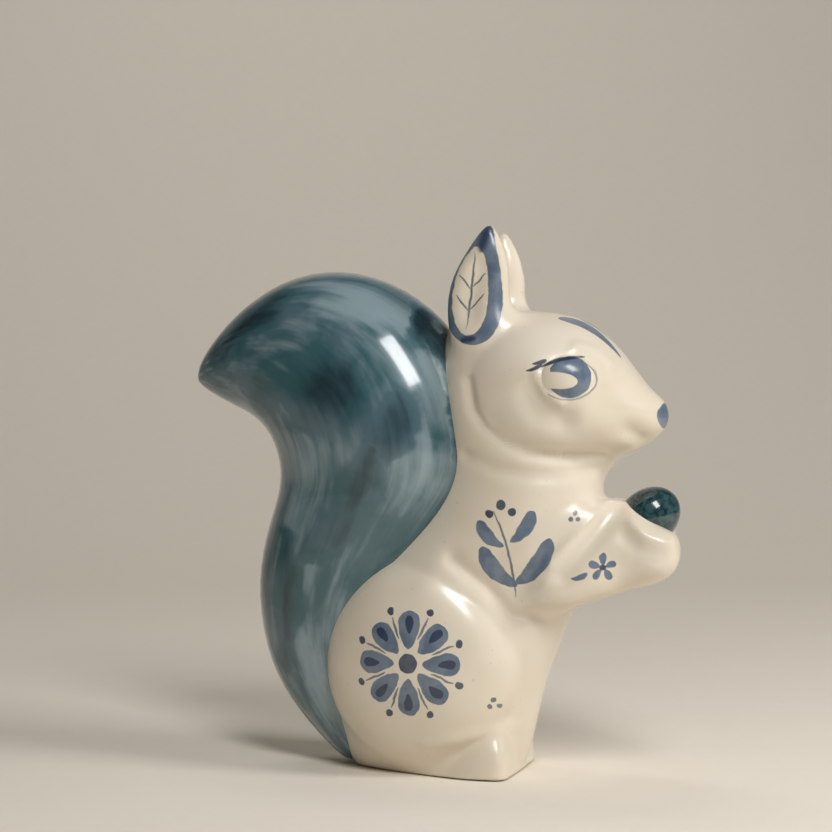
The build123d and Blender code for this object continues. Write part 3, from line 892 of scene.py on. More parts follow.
@dataclass
class Eye:
    """A domed eye in its socket."""

    centre: Triple = (43.6, 19.0, 120.2)
    half: Triple = (9.0, 5.2, 6.9)
    turn: float = 14.0
    tilt: float = 6.0

    def model(self, side: Side) -> bpy.types.Object:
        """Presses the eye of one side."""
        x, y, z = self.centre
        eye = ClayForm.ball(side.label + "_eye", (x, side.value * y, z), self.half, self.tilt)
        middle = np.array((x, side.value * y, z))
        angle = -side.value * math.radians(self.turn)
        cos, sin = math.cos(angle), math.sin(angle)
        spin = np.array(((cos, -sin, 0.0), (sin, cos, 0.0), (0.0, 0.0, 1.0)))
        Workbench.set_points(eye, (Workbench.points(eye) - middle) @ spin.T + middle)
        Workbench.activate(eye)
        bpy.ops.object.shade_smooth()
        return eye


def linear(red: float, green: float, blue: float) -> Colour:
    """Turns a screen colour of 0 to 255 into a linear colour with full alpha."""
    shares = [channel / 255 for channel in (red, green, blue)]
    light = [share / 12.92 if share < 0.04045 else ((share + 0.055) / 1.055) ** 2.4 for share in shares]
    return (light[0], light[1], light[2], 1.0)


class Graph:
    """Adds linked nodes to one shader node tree."""

    def __init__(self, tree: bpy.types.NodeTree) -> None:
        """Keeps the tree to add to."""
        self.tree = tree

    def node(self, kind: str, feeds: dict[Union[int, str], Feed], **options: object) -> bpy.types.Node:
        """Adds one node, sets its options and feeds its inputs with sockets or constants."""
        node = self.tree.nodes.new(kind)
        for key, value in options.items():
            setattr(node, key, value)
        for key, value in feeds.items():
            if isinstance(value, bpy.types.NodeSocket):
                self.tree.links.new(value, node.inputs[key])
            else:
                node.inputs[key].default_value = value
        return node

    def math(self, operation: str, *values: Feed, clamp: bool = False) -> bpy.types.NodeSocket:
        """Adds a Math node."""
        feeds = dict(enumerate(values))
        return self.node("ShaderNodeMath", feeds, operation=operation, use_clamp=clamp).outputs[0]

    def vector(self, operation: str, *values: Feed) -> bpy.types.NodeSocket:
        """Adds a Vector Math node."""
        return self.node("ShaderNodeVectorMath", dict(enumerate(values)), operation=operation).outputs[0]

    def join(self, x: Feed, y: Feed, z: Feed) -> bpy.types.NodeSocket:
        """Makes a vector."""
        return self.node("ShaderNodeCombineXYZ", {0: x, 1: y, 2: z}).outputs[0]

    def split(self, vector: Feed) -> tuple[bpy.types.NodeSocket, ...]:
        """The three parts of a vector."""
        return tuple(self.node("ShaderNodeSeparateXYZ", {0: vector}).outputs)

    def noise(
        self, point: Feed, scale: float, detail: float = 2.0, distortion: float = 0.0
    ) -> bpy.types.Node:
        """Adds a Noise Texture node."""
        feeds = {"Vector": point, "Scale": scale, "Detail": detail, "Distortion": distortion}
        return self.node("ShaderNodeTexNoise", feeds)

    def step(self, value: Feed, low: Feed, high: Feed) -> bpy.types.NodeSocket:
        """Rises smoothly from 0 at the low value to 1 at the high one."""
        feeds = {"Value": value, "From Min": low, "From Max": high}
        return self.node("ShaderNodeMapRange", feeds, interpolation_type="SMOOTHSTEP").outputs[0]

    def mix(self, share: Feed, first: Feed, second: Feed) -> bpy.types.NodeSocket:
        """Mixes two colours."""
        return self.node("ShaderNodeMix", {0: share, 6: first, 7: second}, data_type="RGBA").outputs[2]

    def group(self, tree: bpy.types.NodeTree, feeds: dict[str, Feed]) -> bpy.types.Node:
        """Adds a group node."""
        node = self.tree.nodes.new("ShaderNodeGroup")
        node.node_tree = tree
        for key, value in feeds.items():
            if isinstance(value, bpy.types.NodeSocket):
                self.tree.links.new(value, node.inputs[key])
            else:
                node.inputs[key].default_value = value
        return node

    def place(self) -> bpy.types.NodeSocket:
        """The point on the object, in millimetres."""
        place = self.node("ShaderNodeTexCoord", {}).outputs["Object"]
        return self.node("ShaderNodeVectorMath", {0: place, "Scale": 1.0 / MM}, operation="SCALE").outputs[0]


class Effects:
    """Shader node groups that several glazes share; each is made once."""

    @staticmethod
    def _begin(
        name: str, inputs: Sequence[tuple[str, str]], outputs: Sequence[tuple[str, str]]
    ) -> tuple[Graph, bpy.types.Node, bpy.types.Node]:
        """Opens a new group with its sockets and returns its graph, input node and output node."""
        tree = bpy.data.node_groups.new(name, "ShaderNodeTree")
        for label, kind in inputs:
            tree.interface.new_socket(label, in_out="INPUT", socket_type="NodeSocket" + kind)
        for label, kind in outputs:
            tree.interface.new_socket(label, in_out="OUTPUT", socket_type="NodeSocket" + kind)
        graph = Graph(tree)
        return graph, tree.nodes.new("NodeGroupInput"), tree.nodes.new("NodeGroupOutput")

    @staticmethod
    def brush_stroke() -> bpy.types.NodeTree:
        """One bent, tapered stroke in the XZ plane.

        Returns:
            A group from a point and the stroke's sizes, in millimetres and degrees, to its mask.
        """
        name = "brush_stroke"
        if name in bpy.data.node_groups:
            return bpy.data.node_groups[name]
        sizes = ("Turn", "Half Length", "Half Width", "Bend", "Taper", "Edge")
        inputs = [("Point", "Vector"), ("Centre", "Vector")] + [(size, "Float") for size in sizes]
        graph, start, end = Effects._begin(name, inputs, [("Mask", "Float")])
        given = start.outputs
        offset = graph.vector("SUBTRACT", given["Point"], given["Centre"])
        turned = graph.node(
            "ShaderNodeVectorRotate",
            {"Vector": offset, "Angle": graph.math("RADIANS", given["Turn"])},
            rotation_type="Y_AXIS",
        ).outputs[0]
        along, _, across = graph.split(turned)
        share = graph.math("DIVIDE", along, given["Half Length"])
        square = graph.math("MULTIPLY", share, share)
        bend = graph.math("MULTIPLY", graph.math("MULTIPLY", given["Bend"], given["Half Length"]), square)
        aside = graph.math("ABSOLUTE", graph.math("SUBTRACT", across, bend))
        dome = graph.math("SQRT", graph.math("MAXIMUM", graph.math("SUBTRACT", 1.0, square), 0.0))
        taper = graph.math("MULTIPLY_ADD", given["Taper"], share, 1.0)
        profile = graph.math("MULTIPLY", graph.math("MULTIPLY", given["Half Width"], dome), taper)
        past = graph.math("SUBTRACT", graph.math("ABSOLUTE", along), given["Half Length"])
        over = graph.math("MAXIMUM", past, 0.0)
        depth = graph.math("SUBTRACT", graph.math("SUBTRACT", profile, aside), over)
        mask = graph.step(depth, graph.math("MULTIPLY", given["Edge"], -1.0), given["Edge"])
        graph.tree.links.new(mask, end.inputs["Mask"])
        return graph.tree

    @staticmethod
    def petal_ring() -> bpy.types.NodeTree:
        """Equal strokes that point away from a centre.

        Returns:
            A group from a point and the ring's sizes, in millimetres and degrees, to its mask.
        """
        name = "petal_ring"
        if name in bpy.data.node_groups:
            return bpy.data.node_groups[name]
        sizes = ("Count", "Turn", "Radius", "Half Length", "Half Width", "Taper", "Edge")
        inputs = [("Point", "Vector"), ("Centre", "Vector")] + [(size, "Float") for size in sizes]
        graph, start, end = Effects._begin(name, inputs, [("Mask", "Float")])
        given = start.outputs
        x, _, z = graph.split(graph.vector("SUBTRACT", given["Point"], given["Centre"]))
        radius = graph.math("SQRT", graph.math("MULTIPLY_ADD", x, x, graph.math("MULTIPLY", z, z)))
        angle = graph.math("SUBTRACT", graph.math("ARCTAN2", z, x), graph.math("RADIANS", given["Turn"]))
        sector = graph.math("DIVIDE", 2.0 * math.pi, given["Count"])
        turns = graph.math("ROUND", graph.math("DIVIDE", angle, sector))
        folded = graph.math("SUBTRACT", angle, graph.math("MULTIPLY", turns, sector))
        along = graph.math(
            "SUBTRACT", graph.math("MULTIPLY", radius, graph.math("COSINE", folded)), given["Radius"]
        )
        across = graph.math("MULTIPLY", radius, graph.math("SINE", folded))
        feeds = {label: given[label] for label in ("Half Length", "Half Width", "Taper", "Edge")}
        stroke = graph.group(Effects.brush_stroke(), {"Point": graph.join(along, 0.0, across), **feeds})
        graph.tree.links.new(stroke.outputs["Mask"], end.inputs["Mask"])
        return graph.tree

    @staticmethod
    def paint() -> bpy.types.NodeTree:
        """Translucent brushed paint over a ground colour.

        Returns:
            A group from ground, paint, mask and point to the painted colour.
        """
        name = "paint"
        if name in bpy.data.node_groups:
            return bpy.data.node_groups[name]
        inputs = [("Ground", "Color"), ("Paint", "Color"), ("Mask", "Float"), ("Point", "Vector")]
        graph, start, end = Effects._begin(name, inputs, [("Color", "Color")])
        given = start.outputs
        wash = graph.noise(given["Point"], 0.16, 3.0, 0.4).outputs["Fac"]
        grain = graph.noise(given["Point"], 0.9, 2.0).outputs["Fac"]
        thin = graph.mix(0.08, given["Paint"], given["Ground"])
        thick = graph.mix(0.3, given["Paint"], (0.02, 0.035, 0.06, 1.0))
        body = graph.mix(graph.step(wash, 0.3, 0.7), thin, thick)
        cover = graph.math("MULTIPLY", given["Mask"], graph.math("MULTIPLY_ADD", grain, 0.08, 0.92))
        graph.tree.links.new(graph.mix(cover, given["Ground"], body), end.inputs["Color"])
        return graph.tree

    @staticmethod
    def cream_ground(folds: Sequence["Stroke"]) -> bpy.types.NodeTree:
        """Cream glaze, a little uneven, dry in the folds, and duller with a thin band of painted shade where
        the figurine meets the table.

        Args:
            folds: where the glaze is thin and dry.

        Returns:
            A group from the point to colour, roughness, coat and height.
        """
        name = "cream_ground"
        if name in bpy.data.node_groups:
            return bpy.data.node_groups[name]
        outputs = [("Color", "Color"), ("Roughness", "Float"), ("Coat", "Float"), ("Height", "Float")]
        graph, start, end = Effects._begin(name, [("Point", "Vector")], outputs)
        point = start.outputs["Point"]
        cloud = graph.noise(point, 0.035, 2.0).outputs["Fac"]
        glaze = graph.mix(graph.step(cloud, 0.35, 0.65), linear(230, 219, 201), linear(226, 214, 193))
        speck = graph.step(graph.noise(point, 0.55, 1.0).outputs["Fac"], 0.74, 0.80)
        glaze = graph.mix(graph.math("MULTIPLY", speck, 0.25), glaze, linear(176, 160, 134))
        # painted shade: a thin darker band at the very bottom, where the figurine meets the table; the glaze
        # is also duller there
        foot_shade = graph.step(graph.split(point)[2], 0.75, 0.5)
        graph.tree.links.new(graph.mix(foot_shade, glaze, linear(214, 200, 178)), end.inputs["Color"])
        dry = foot_shade
        for fold in folds:
            dry = graph.math("MAXIMUM", dry, fold.mask(graph, point))
        roughness, rougher, coat = 0.28, 0.4, 0.4
        rough = graph.math("MULTIPLY_ADD", dry, rougher, roughness)
        graph.tree.links.new(rough, end.inputs["Roughness"])
        graph.tree.links.new(graph.math("MULTIPLY_ADD", dry, -coat, coat), end.inputs["Coat"])
        graph.tree.links.new(graph.noise(point, 0.07, 1.0).outputs["Fac"], end.inputs["Height"])
        return graph.tree


@dataclass(frozen=True)
class Stroke:
    """One stroke of the brush, seen from the side or from above.

    Attributes:
        x, z: middle of the stroke.
        half_length, half_width: sizes; equal ones make a dot.
        turn: direction above +X, in degrees.
        bend: rise of both ends to the left, as a share of the half length.
        taper: how much wider the far end is.
        edge: softness of the edge.
    """

    x: float
    z: float
    half_length: float
    half_width: float
    turn: float = 0.0
    bend: float = 0.0
    taper: float = 0.0
    edge: float = 0.16

    def mask(self, graph: Graph, point: bpy.types.NodeSocket) -> bpy.types.NodeSocket:
        """Adds the stroke and returns its mask."""
        feeds = {
            "Point": point,
            "Centre": (self.x, 0.0, self.z),
            "Turn": self.turn,
            "Half Length": self.half_length,
            "Half Width": self.half_width,
            "Bend": self.bend,
            "Taper": self.taper,
            "Edge": self.edge,
        }
        return graph.group(Effects.brush_stroke(), feeds).outputs["Mask"]


@dataclass(frozen=True)
class Petals:
    """A ring of equal strokes.

    Attributes:
        x, z: centre of the ring.
        count: number of strokes.
        radius: distance of their middles from the centre.
        half_length, half_width, taper: each stroke, as in Stroke.
        turn: direction of the first one, in degrees.
        edge: softness of the edge.
    """

    x: float
    z: float
    count: int
    radius: float
    half_length: float
    half_width: float
    taper: float = 0.0
    turn: float = 0.0
    edge: float = 0.16

    def mask(self, graph: Graph, point: bpy.types.NodeSocket) -> bpy.types.NodeSocket:
        """Adds the ring and returns its mask."""
        feeds = {
            "Point": point,
            "Centre": (self.x, 0.0, self.z),
            "Count": float(self.count),
            "Turn": self.turn,
            "Radius": self.radius,
            "Half Length": self.half_length,
            "Half Width": self.half_width,
            "Taper": self.taper,
            "Edge": self.edge,
        }
        return graph.group(Effects.petal_ring(), feeds).outputs["Mask"]


class Paint(Enum):
    """The colours on the painter's palette, and one painted shade."""

    SLATE = linear(92, 114, 138)
    DEEP = linear(44, 58, 84)
    LINER = linear(104, 112, 124)
    # painted shade of the eye socket's edge
    SHADE = linear(172, 166, 156)
    CREAM = linear(232, 221, 201)


class Sight(Enum):
    """From where a layer of paint is laid on."""

    SIDE = "side"
    TOP = "top"


@dataclass(frozen=True)
class Layer:
    """Strokes in one colour.

    Attributes:
        paint: their colour.
        marks: the strokes.
        inside: the paint stays further than this from the middle plane.
        sight: where the strokes are seen from.
        above: the paint stays higher than this.
    """

    paint: Paint
    marks: tuple[Union[Stroke, Petals], ...]
    inside: float = 4.0
    sight: Sight = Sight.SIDE
    above: float = 0.0

    def cover(
        self, graph: Graph, ground: bpy.types.NodeSocket, point: bpy.types.NodeSocket
    ) -> bpy.types.NodeSocket:
        """Paints the layer.

        Args:
            graph: graph of the material.
            ground: colour below the paint.
            point: point on the object, in millimetres.

        Returns:
            The painted colour.
        """
        x, y, z = graph.split(point)
        seen = point if self.sight is Sight.SIDE else graph.join(x, 0.0, y)
        total = self.marks[0].mask(graph, seen)
        for mark in self.marks[1:]:
            total = graph.math("MAXIMUM", total, mark.mask(graph, seen))
        if self.inside:
            away = graph.step(graph.math("ABSOLUTE", y), self.inside - 0.5, self.inside + 0.5)
            total = graph.math("MULTIPLY", total, away)
        if self.above:
            total = graph.math("MULTIPLY", total, graph.step(z, self.above - 0.5, self.above + 0.5))
        feeds = {"Ground": ground, "Paint": self.paint.value, "Mask": total, "Point": point}
        if self.paint is Paint.CREAM:
            return graph.mix(total, ground, self.paint.value)
        return graph.group(Effects.paint(), feeds).outputs["Color"]


@dataclass(frozen=True)
class CreamGlaze:
    """Glossy cream glaze over a painted decoration.

    Attributes:
        name: name of the material.
        layers: the decoration, first layer first.
        wobble: how far the brush strays, in millimetres.
        folds: where the glaze is thin and dry, under the upper arm and at the neck.
        coat_roughness: roughness of the clear coat.
    """

    name: str
    layers: tuple[Layer, ...] = ()
    wobble: float = 0.5
    folds: tuple[Stroke, ...] = (
        Stroke(13.2, 61.7, 11.0, 2.4, -43.0, edge=1.8),
        Stroke(34.2, 97.1, 10.0, 2.0, -12.0, edge=1.6),
    )
    coat_roughness: float = 0.16

    def material(self) -> bpy.types.Material:
        """Builds the material."""
        material = bpy.data.materials.new(self.name)
        material.use_nodes = True
        graph = Graph(material.node_tree)
        place = graph.place()
        ground = graph.group(Effects.cream_ground(self.folds), {"Point": place})
        colour = ground.outputs["Color"]
        if self.layers:
            stray = graph.vector("SUBTRACT", graph.noise(place, 0.35, 1.0).outputs["Color"], (0.5, 0.5, 0.5))
            stray = graph.vector("MULTIPLY", stray, (2 * self.wobble,) * 3)
            brush = graph.vector("ADD", place, stray)
            for layer in self.layers:
                colour = layer.cover(graph, colour, brush)
        bump = graph.node(
            "ShaderNodeBump",
            {"Strength": BUMP_STRENGTH, "Distance": BUMP_DISTANCE, "Height": ground.outputs["Height"]},
        )
        shader = material.node_tree.nodes["Principled BSDF"]
        graph.tree.links.new(colour, shader.inputs["Base Color"])
        graph.tree.links.new(ground.outputs["Roughness"], shader.inputs["Roughness"])
        graph.tree.links.new(bump.outputs["Normal"], shader.inputs["Normal"])
        graph.tree.links.new(ground.outputs["Coat"], shader.inputs["Coat Weight"])
        shader.inputs["Coat Roughness"].default_value = self.coat_roughness
        return material


@dataclass(frozen=True)
class TailGlaze:
    """Blue-green glaze brushed along the tail in patches, streaks and pools; painted shade by the head."""

    layout: str
    middle: Colour = linear(80, 106, 116)
    light: Colour = linear(136, 156, 162)
    dark: Colour = linear(30, 54, 62)
    teal: Colour = linear(56, 94, 100)
    # thick places of the wash, seen from the side
    pools: tuple[Stroke, ...] = (
        Stroke(-7.0, 106.0, 11.0, 5.0, 84.0, 0.1, -0.3, 4.0),
        Stroke(-30.0, 114.0, 13.0, 9.0, 40.0, 0.1, 0.0, 7.0),
        Stroke(-59.5, 135.0, 17.0, 3.6, 40.0, -0.1, 0.2, 3.5),
        Stroke(-23.0, 80.0, 21.0, 5.0, 56.0, 0.12, 0.2, 4.0),
        Stroke(-43.0, 52.0, 22.0, 3.6, 88.0, 0.1, 0.0, 3.5),
    )
    # darkest places: painted shadow of the head on the tail, and a painted shade line along the tail's seam
    # with the neck
    corners: tuple[Stroke, ...] = (
        Stroke(1.0, 131.5, 11.0, 3.4, 129.0, 0.0, 0.0, 3.0),
        Stroke(8.6, 110.0, 14.0, 1.0, 97.0, 0.0, 0.0, 1.6),
    )
    # thin places
    shallows: tuple[Stroke, ...] = (
        Stroke(-3.0, 90.0, 13.0, 6.0, 70.0, 0.1, 0.0, 6.0),
        Stroke(-20.0, 141.0, 16.0, 3.6, -8.0, -0.2, 0.0, 6.0),
        Stroke(2.0, 120.0, 18.0, 4.0, 105.0, -0.2, 0.0, 4.0),
        Stroke(-34.0, 26.0, 22.0, 3.0, 118.0, -0.1, 0.0, 5.0),
    )

    def material(self) -> bpy.types.Material:
        """Builds the material."""
        material = bpy.data.materials.new("tail_glaze")
        material.use_nodes = True
        graph = Graph(material.node_tree)
        place = graph.place()
        run, share, _ = graph.split(graph.node("ShaderNodeUVMap", {}, uv_map=self.layout).outputs[0])
        depth = graph.math("MULTIPLY", graph.split(place)[1], 0.08)
        straight = graph.join(graph.math("MULTIPLY", run, 2.0), graph.math("MULTIPLY", share, 4.0), depth)
        streak = graph.noise(
            graph.vector("MULTIPLY", straight, (0.6, 1.9, 1.9)), 1.5, 4.0, 0.25
        ).outputs["Fac"]
        cloud = graph.noise(place, 0.045, 3.0, 0.8).outputs["Fac"]
        patch = self._patches(graph, straight)
        stray = graph.vector("SUBTRACT", graph.noise(place, 0.12, 3.0).outputs["Color"], (0.5, 0.5, 0.5))
        brush = graph.vector("ADD", place, graph.vector("MULTIPLY", stray, (7.0, 7.0, 7.0)))
        thick = graph.math("MULTIPLY_ADD", self._places(graph, self.pools, brush), 0.42, 0.02)
        thick = graph.math(
            "SUBTRACT", thick, graph.math("MULTIPLY", self._places(graph, self.shallows, brush), 0.22)
        )
        # painted shade: the corners darken the tail beside the head and along its seam
        thick = graph.math("MULTIPLY_ADD", self._places(graph, self.corners, brush), 0.8, thick)
        thick = graph.math("MULTIPLY_ADD", patch, 0.24, thick)
        thick = graph.math("MULTIPLY_ADD", streak, 0.9, thick)
        thick = graph.math("MULTIPLY_ADD", cloud, 0.3, graph.math("SUBTRACT", thick, 0.34))
        ground = graph.mix(graph.step(cloud, 0.42, 0.68), self.middle, self.teal)
        colour = graph.mix(graph.step(thick, 0.12, 0.52), self.light, ground)
        colour = graph.mix(graph.step(thick, 0.52, 1.08), colour, self.dark)
        bump = graph.node(
            "ShaderNodeBump", {
                "Strength": BUMP_STRENGTH,
                "Distance": BUMP_DISTANCE,
                "Height": graph.noise(place, 0.06, 1.0).outputs["Fac"],
            }
        )
        shader = material.node_tree.nodes["Principled BSDF"]
        graph.tree.links.new(colour, shader.inputs["Base Color"])
        graph.tree.links.new(bump.outputs["Normal"], shader.inputs["Normal"])
        shader.inputs["Roughness"].default_value = 0.16
        shader.inputs["Coat Weight"].default_value = 0.6
        shader.inputs["Coat Roughness"].default_value = 0.07
        return material

    @staticmethod
    def _patches(graph: Graph, straight: bpy.types.NodeSocket) -> bpy.types.NodeSocket:
        """Long brush loads that lie side by side, each with a thickness of its own."""
        feeds = {"Vector": straight, "Scale": 1.4, "Smoothness": 0.35, "Randomness": 1.0}
        loads = graph.node("ShaderNodeTexVoronoi", feeds, feature="SMOOTH_F1")
        return graph.split(loads.outputs["Color"])[0]

    @staticmethod
    def _places(graph: Graph, marks: Sequence[Stroke], brush: bpy.types.NodeSocket) -> bpy.types.NodeSocket:
        """The joint mask of several soft strokes."""
        total = marks[0].mask(graph, brush)
        for mark in marks[1:]:
            total = graph.math("MAXIMUM", total, mark.mask(graph, brush))
        return total


@dataclass(frozen=True)
class PlainFinish:
    """One even colour with a faint mottle.

    Attributes:
        name: name of the material.
        first, second: the two tones of the mottle.
        roughness: roughness of the surface.
        coat: weight of the clear glaze on top.
        grain: size of the mottle, in turns per millimetre.
    """

    name: str
    first: tuple[float, float, float, float]
    second: tuple[float, float, float, float]
    roughness: float
    coat: float = 0.0
    grain: float = 0.2

    def material(self) -> bpy.types.Material:
        """Builds the material."""
        material = bpy.data.materials.new(self.name)
        material.use_nodes = True
        graph = Graph(material.node_tree)
        mottle = graph.noise(graph.place(), self.grain, 4.0, 0.5).outputs["Fac"]
        shader = material.node_tree.nodes["Principled BSDF"]
        colour = graph.mix(graph.step(mottle, 0.35, 0.65), self.first, self.second)
        graph.tree.links.new(colour, shader.inputs["Base Color"])
        shader.inputs["Roughness"].default_value = self.roughness
        shader.inputs["Coat Weight"].default_value = self.coat
        shader.inputs["Coat Roughness"].default_value = 0.04
        return material


class Decoration:
    """The painted motifs, in millimetres from the side, or from above on the forehead."""

    rosette: tuple[Layer, ...] = (
        Layer(Paint.SLATE, (Petals(-2.0, 35.5, 8, 10.0, 5.6, 3.15, 0.4),), inside=14.0),
        Layer(
            Paint.DEEP,
            (
                Stroke(-2.0, 35.5, 2.9, 2.9),
                Petals(-2.0, 35.5, 8, 11.6, 2.6, 1.3, 0.35),
                Petals(-2.0, 35.5, 8, 16.4, 1.15, 1.15, 0.0, 22.5),
            ),
            inside=14.0,
        ),
        Layer(Paint.LINER, (Petals(-2.0, 35.5, 8, 11.2, 3.6, 0.36, 0.0, 22.5),), inside=14.0),
        Layer(
            Paint.LINER,
            (Stroke(21.0, 22.6, 0.75, 0.75), Stroke(23.2, 22.6, 0.7, 0.75), Stroke(22.1, 24.5, 0.75, 0.75)),
            inside=6.0,
        ),
    )
    branch: tuple[Layer, ...] = (
        Layer(Paint.LINER, (Stroke(26.4, 68.5, 13.4, 0.38, 104.0, 0.12),), inside=8.0),
        Layer(
            Paint.SLATE,
            (
                Stroke(34.9, 64.8, 8.6, 2.7, 52.0, 0.2, 0.25),
                Stroke(22.2, 63.2, 7.8, 2.6, 132.0, -0.2, 0.25),
                Stroke(31.2, 75.6, 5.8, 2.0, 56.0, 0.2, 0.25),
                Stroke(20.2, 73.2, 5.4, 2.0, 136.0, -0.2, 0.25),
            ),
            inside=8.0,
        ),
        Layer(
            Paint.DEEP,
            (Stroke(24.0, 82.6, 1.5, 1.5), Stroke(27.4, 80.6, 1.3, 1.3), Stroke(20.6, 79.8, 1.3, 1.3)),
            inside=8.0,
        ),
        Layer(
            Paint.LINER,
            (Stroke(44.2, 78.6, 0.7, 0.7), Stroke(46.3, 78.6, 0.7, 0.7), Stroke(45.2, 80.4, 0.7, 0.7)),
            inside=5.0,
        ),
    )
    floret: tuple[Layer, ...] = (
        Layer(Paint.SLATE, (Petals(54.0, 64.6, 5, 2.5, 1.7, 1.05, 0.3, 90.0),), inside=8.0),
        Layer(Paint.DEEP, (Stroke(54.0, 64.6, 0.9, 0.9),), inside=8.0),
        Layer(Paint.SLATE, (Stroke(47.6, 61.4, 2.6, 0.8, 20.0, 0.2, 0.3),), inside=8.0),
    )
    ear_leaf: tuple[Layer, ...] = (
        Layer(Paint.SLATE, (Stroke(14.2, 148.0, 18.0, 8.8, 84.0, -0.1, -0.42),), inside=12.0),
        Layer(Paint.CREAM, (Stroke(13.4, 146.0, 13.2, 5.6, 86.0, -0.06, -0.2),), inside=12.0),
        Layer(
            Paint.LINER,
            (
                Stroke(13.6, 146.0, 11.6, 0.34, 85.0),
                Stroke(11.0, 142.4, 3.0, 0.3, 128.0),
                Stroke(15.6, 142.8, 3.2, 0.3, 46.0),
                Stroke(11.6, 148.8, 2.8, 0.3, 128.0),
                Stroke(16.0, 149.2, 2.8, 0.3, 46.0),
            ),
            inside=12.0,
        ),
        Layer(
            Paint.DEEP,
            (
                Stroke(17.4, 161.4, 4.0, 1.6, 75.0, 0.0, 0.0, 1.4),
                Stroke(13.4, 131.6, 2.6, 1.0, 10.0, 0.0, 0.0, 0.8),
            ),
            inside=12.0,
        ),
    )
    face: tuple[Layer, ...] = (
        # painted shade: a soft grey ring at the eye socket's edge, left where the cream above covers its
        # middle
        Layer(Paint.SHADE, (Stroke(44.5, 120.2, 8.3, 6.3, -6.0),), inside=15.0),
        Layer(Paint.CREAM, (Stroke(44.3, 120.4, 8.0, 6.0, -6.0),), inside=15.0),
        Layer(Paint.SLATE, (Stroke(45.3, 120.6, 6.1, 6.0),), inside=15.0),
        Layer(
            Paint.CREAM,
            (Stroke(42.0, 119.8, 5.9, 2.5, -4.0), Stroke(36.2, 120.4, 7.0, 4.0, 90.0)),
            inside=15.0,
        ),
        Layer(
            Paint.DEEP,
            (
                Stroke(42.6, 125.8, 6.2, 0.6, 14.0, -0.12),
                Stroke(35.0, 123.2, 2.6, 0.6, 22.0, 0.1, 0.4),
                Stroke(36.4, 124.9, 2.2, 0.6, 12.0, 0.1, 0.4),
            ),
            inside=15.0,
        ),
        Layer(Paint.SLATE, (Stroke(71.2, 109.2, 4.9, 3.0, 84.0),), inside=0.0),
        Layer(
            Paint.SLATE,
            (Stroke(47.5, 4.8, 9.4, 2.6, -9.0, 0.1, -0.3), Stroke(47.5, -4.8, 9.4, 2.6, 9.0, -0.1, -0.3)),
            inside=0.0,
            sight=Sight.TOP,
            above=118.0,
        ),
        Layer(
            Paint.LINER,
            (Stroke(34.0, 0.0, 7.0, 0.35), Stroke(48.0, 0.0, 5.0, 1.0, 0.0, 0.0, -0.4)),
            inside=0.0,
            sight=Sight.TOP,
            above=118.0,
        ),
    )


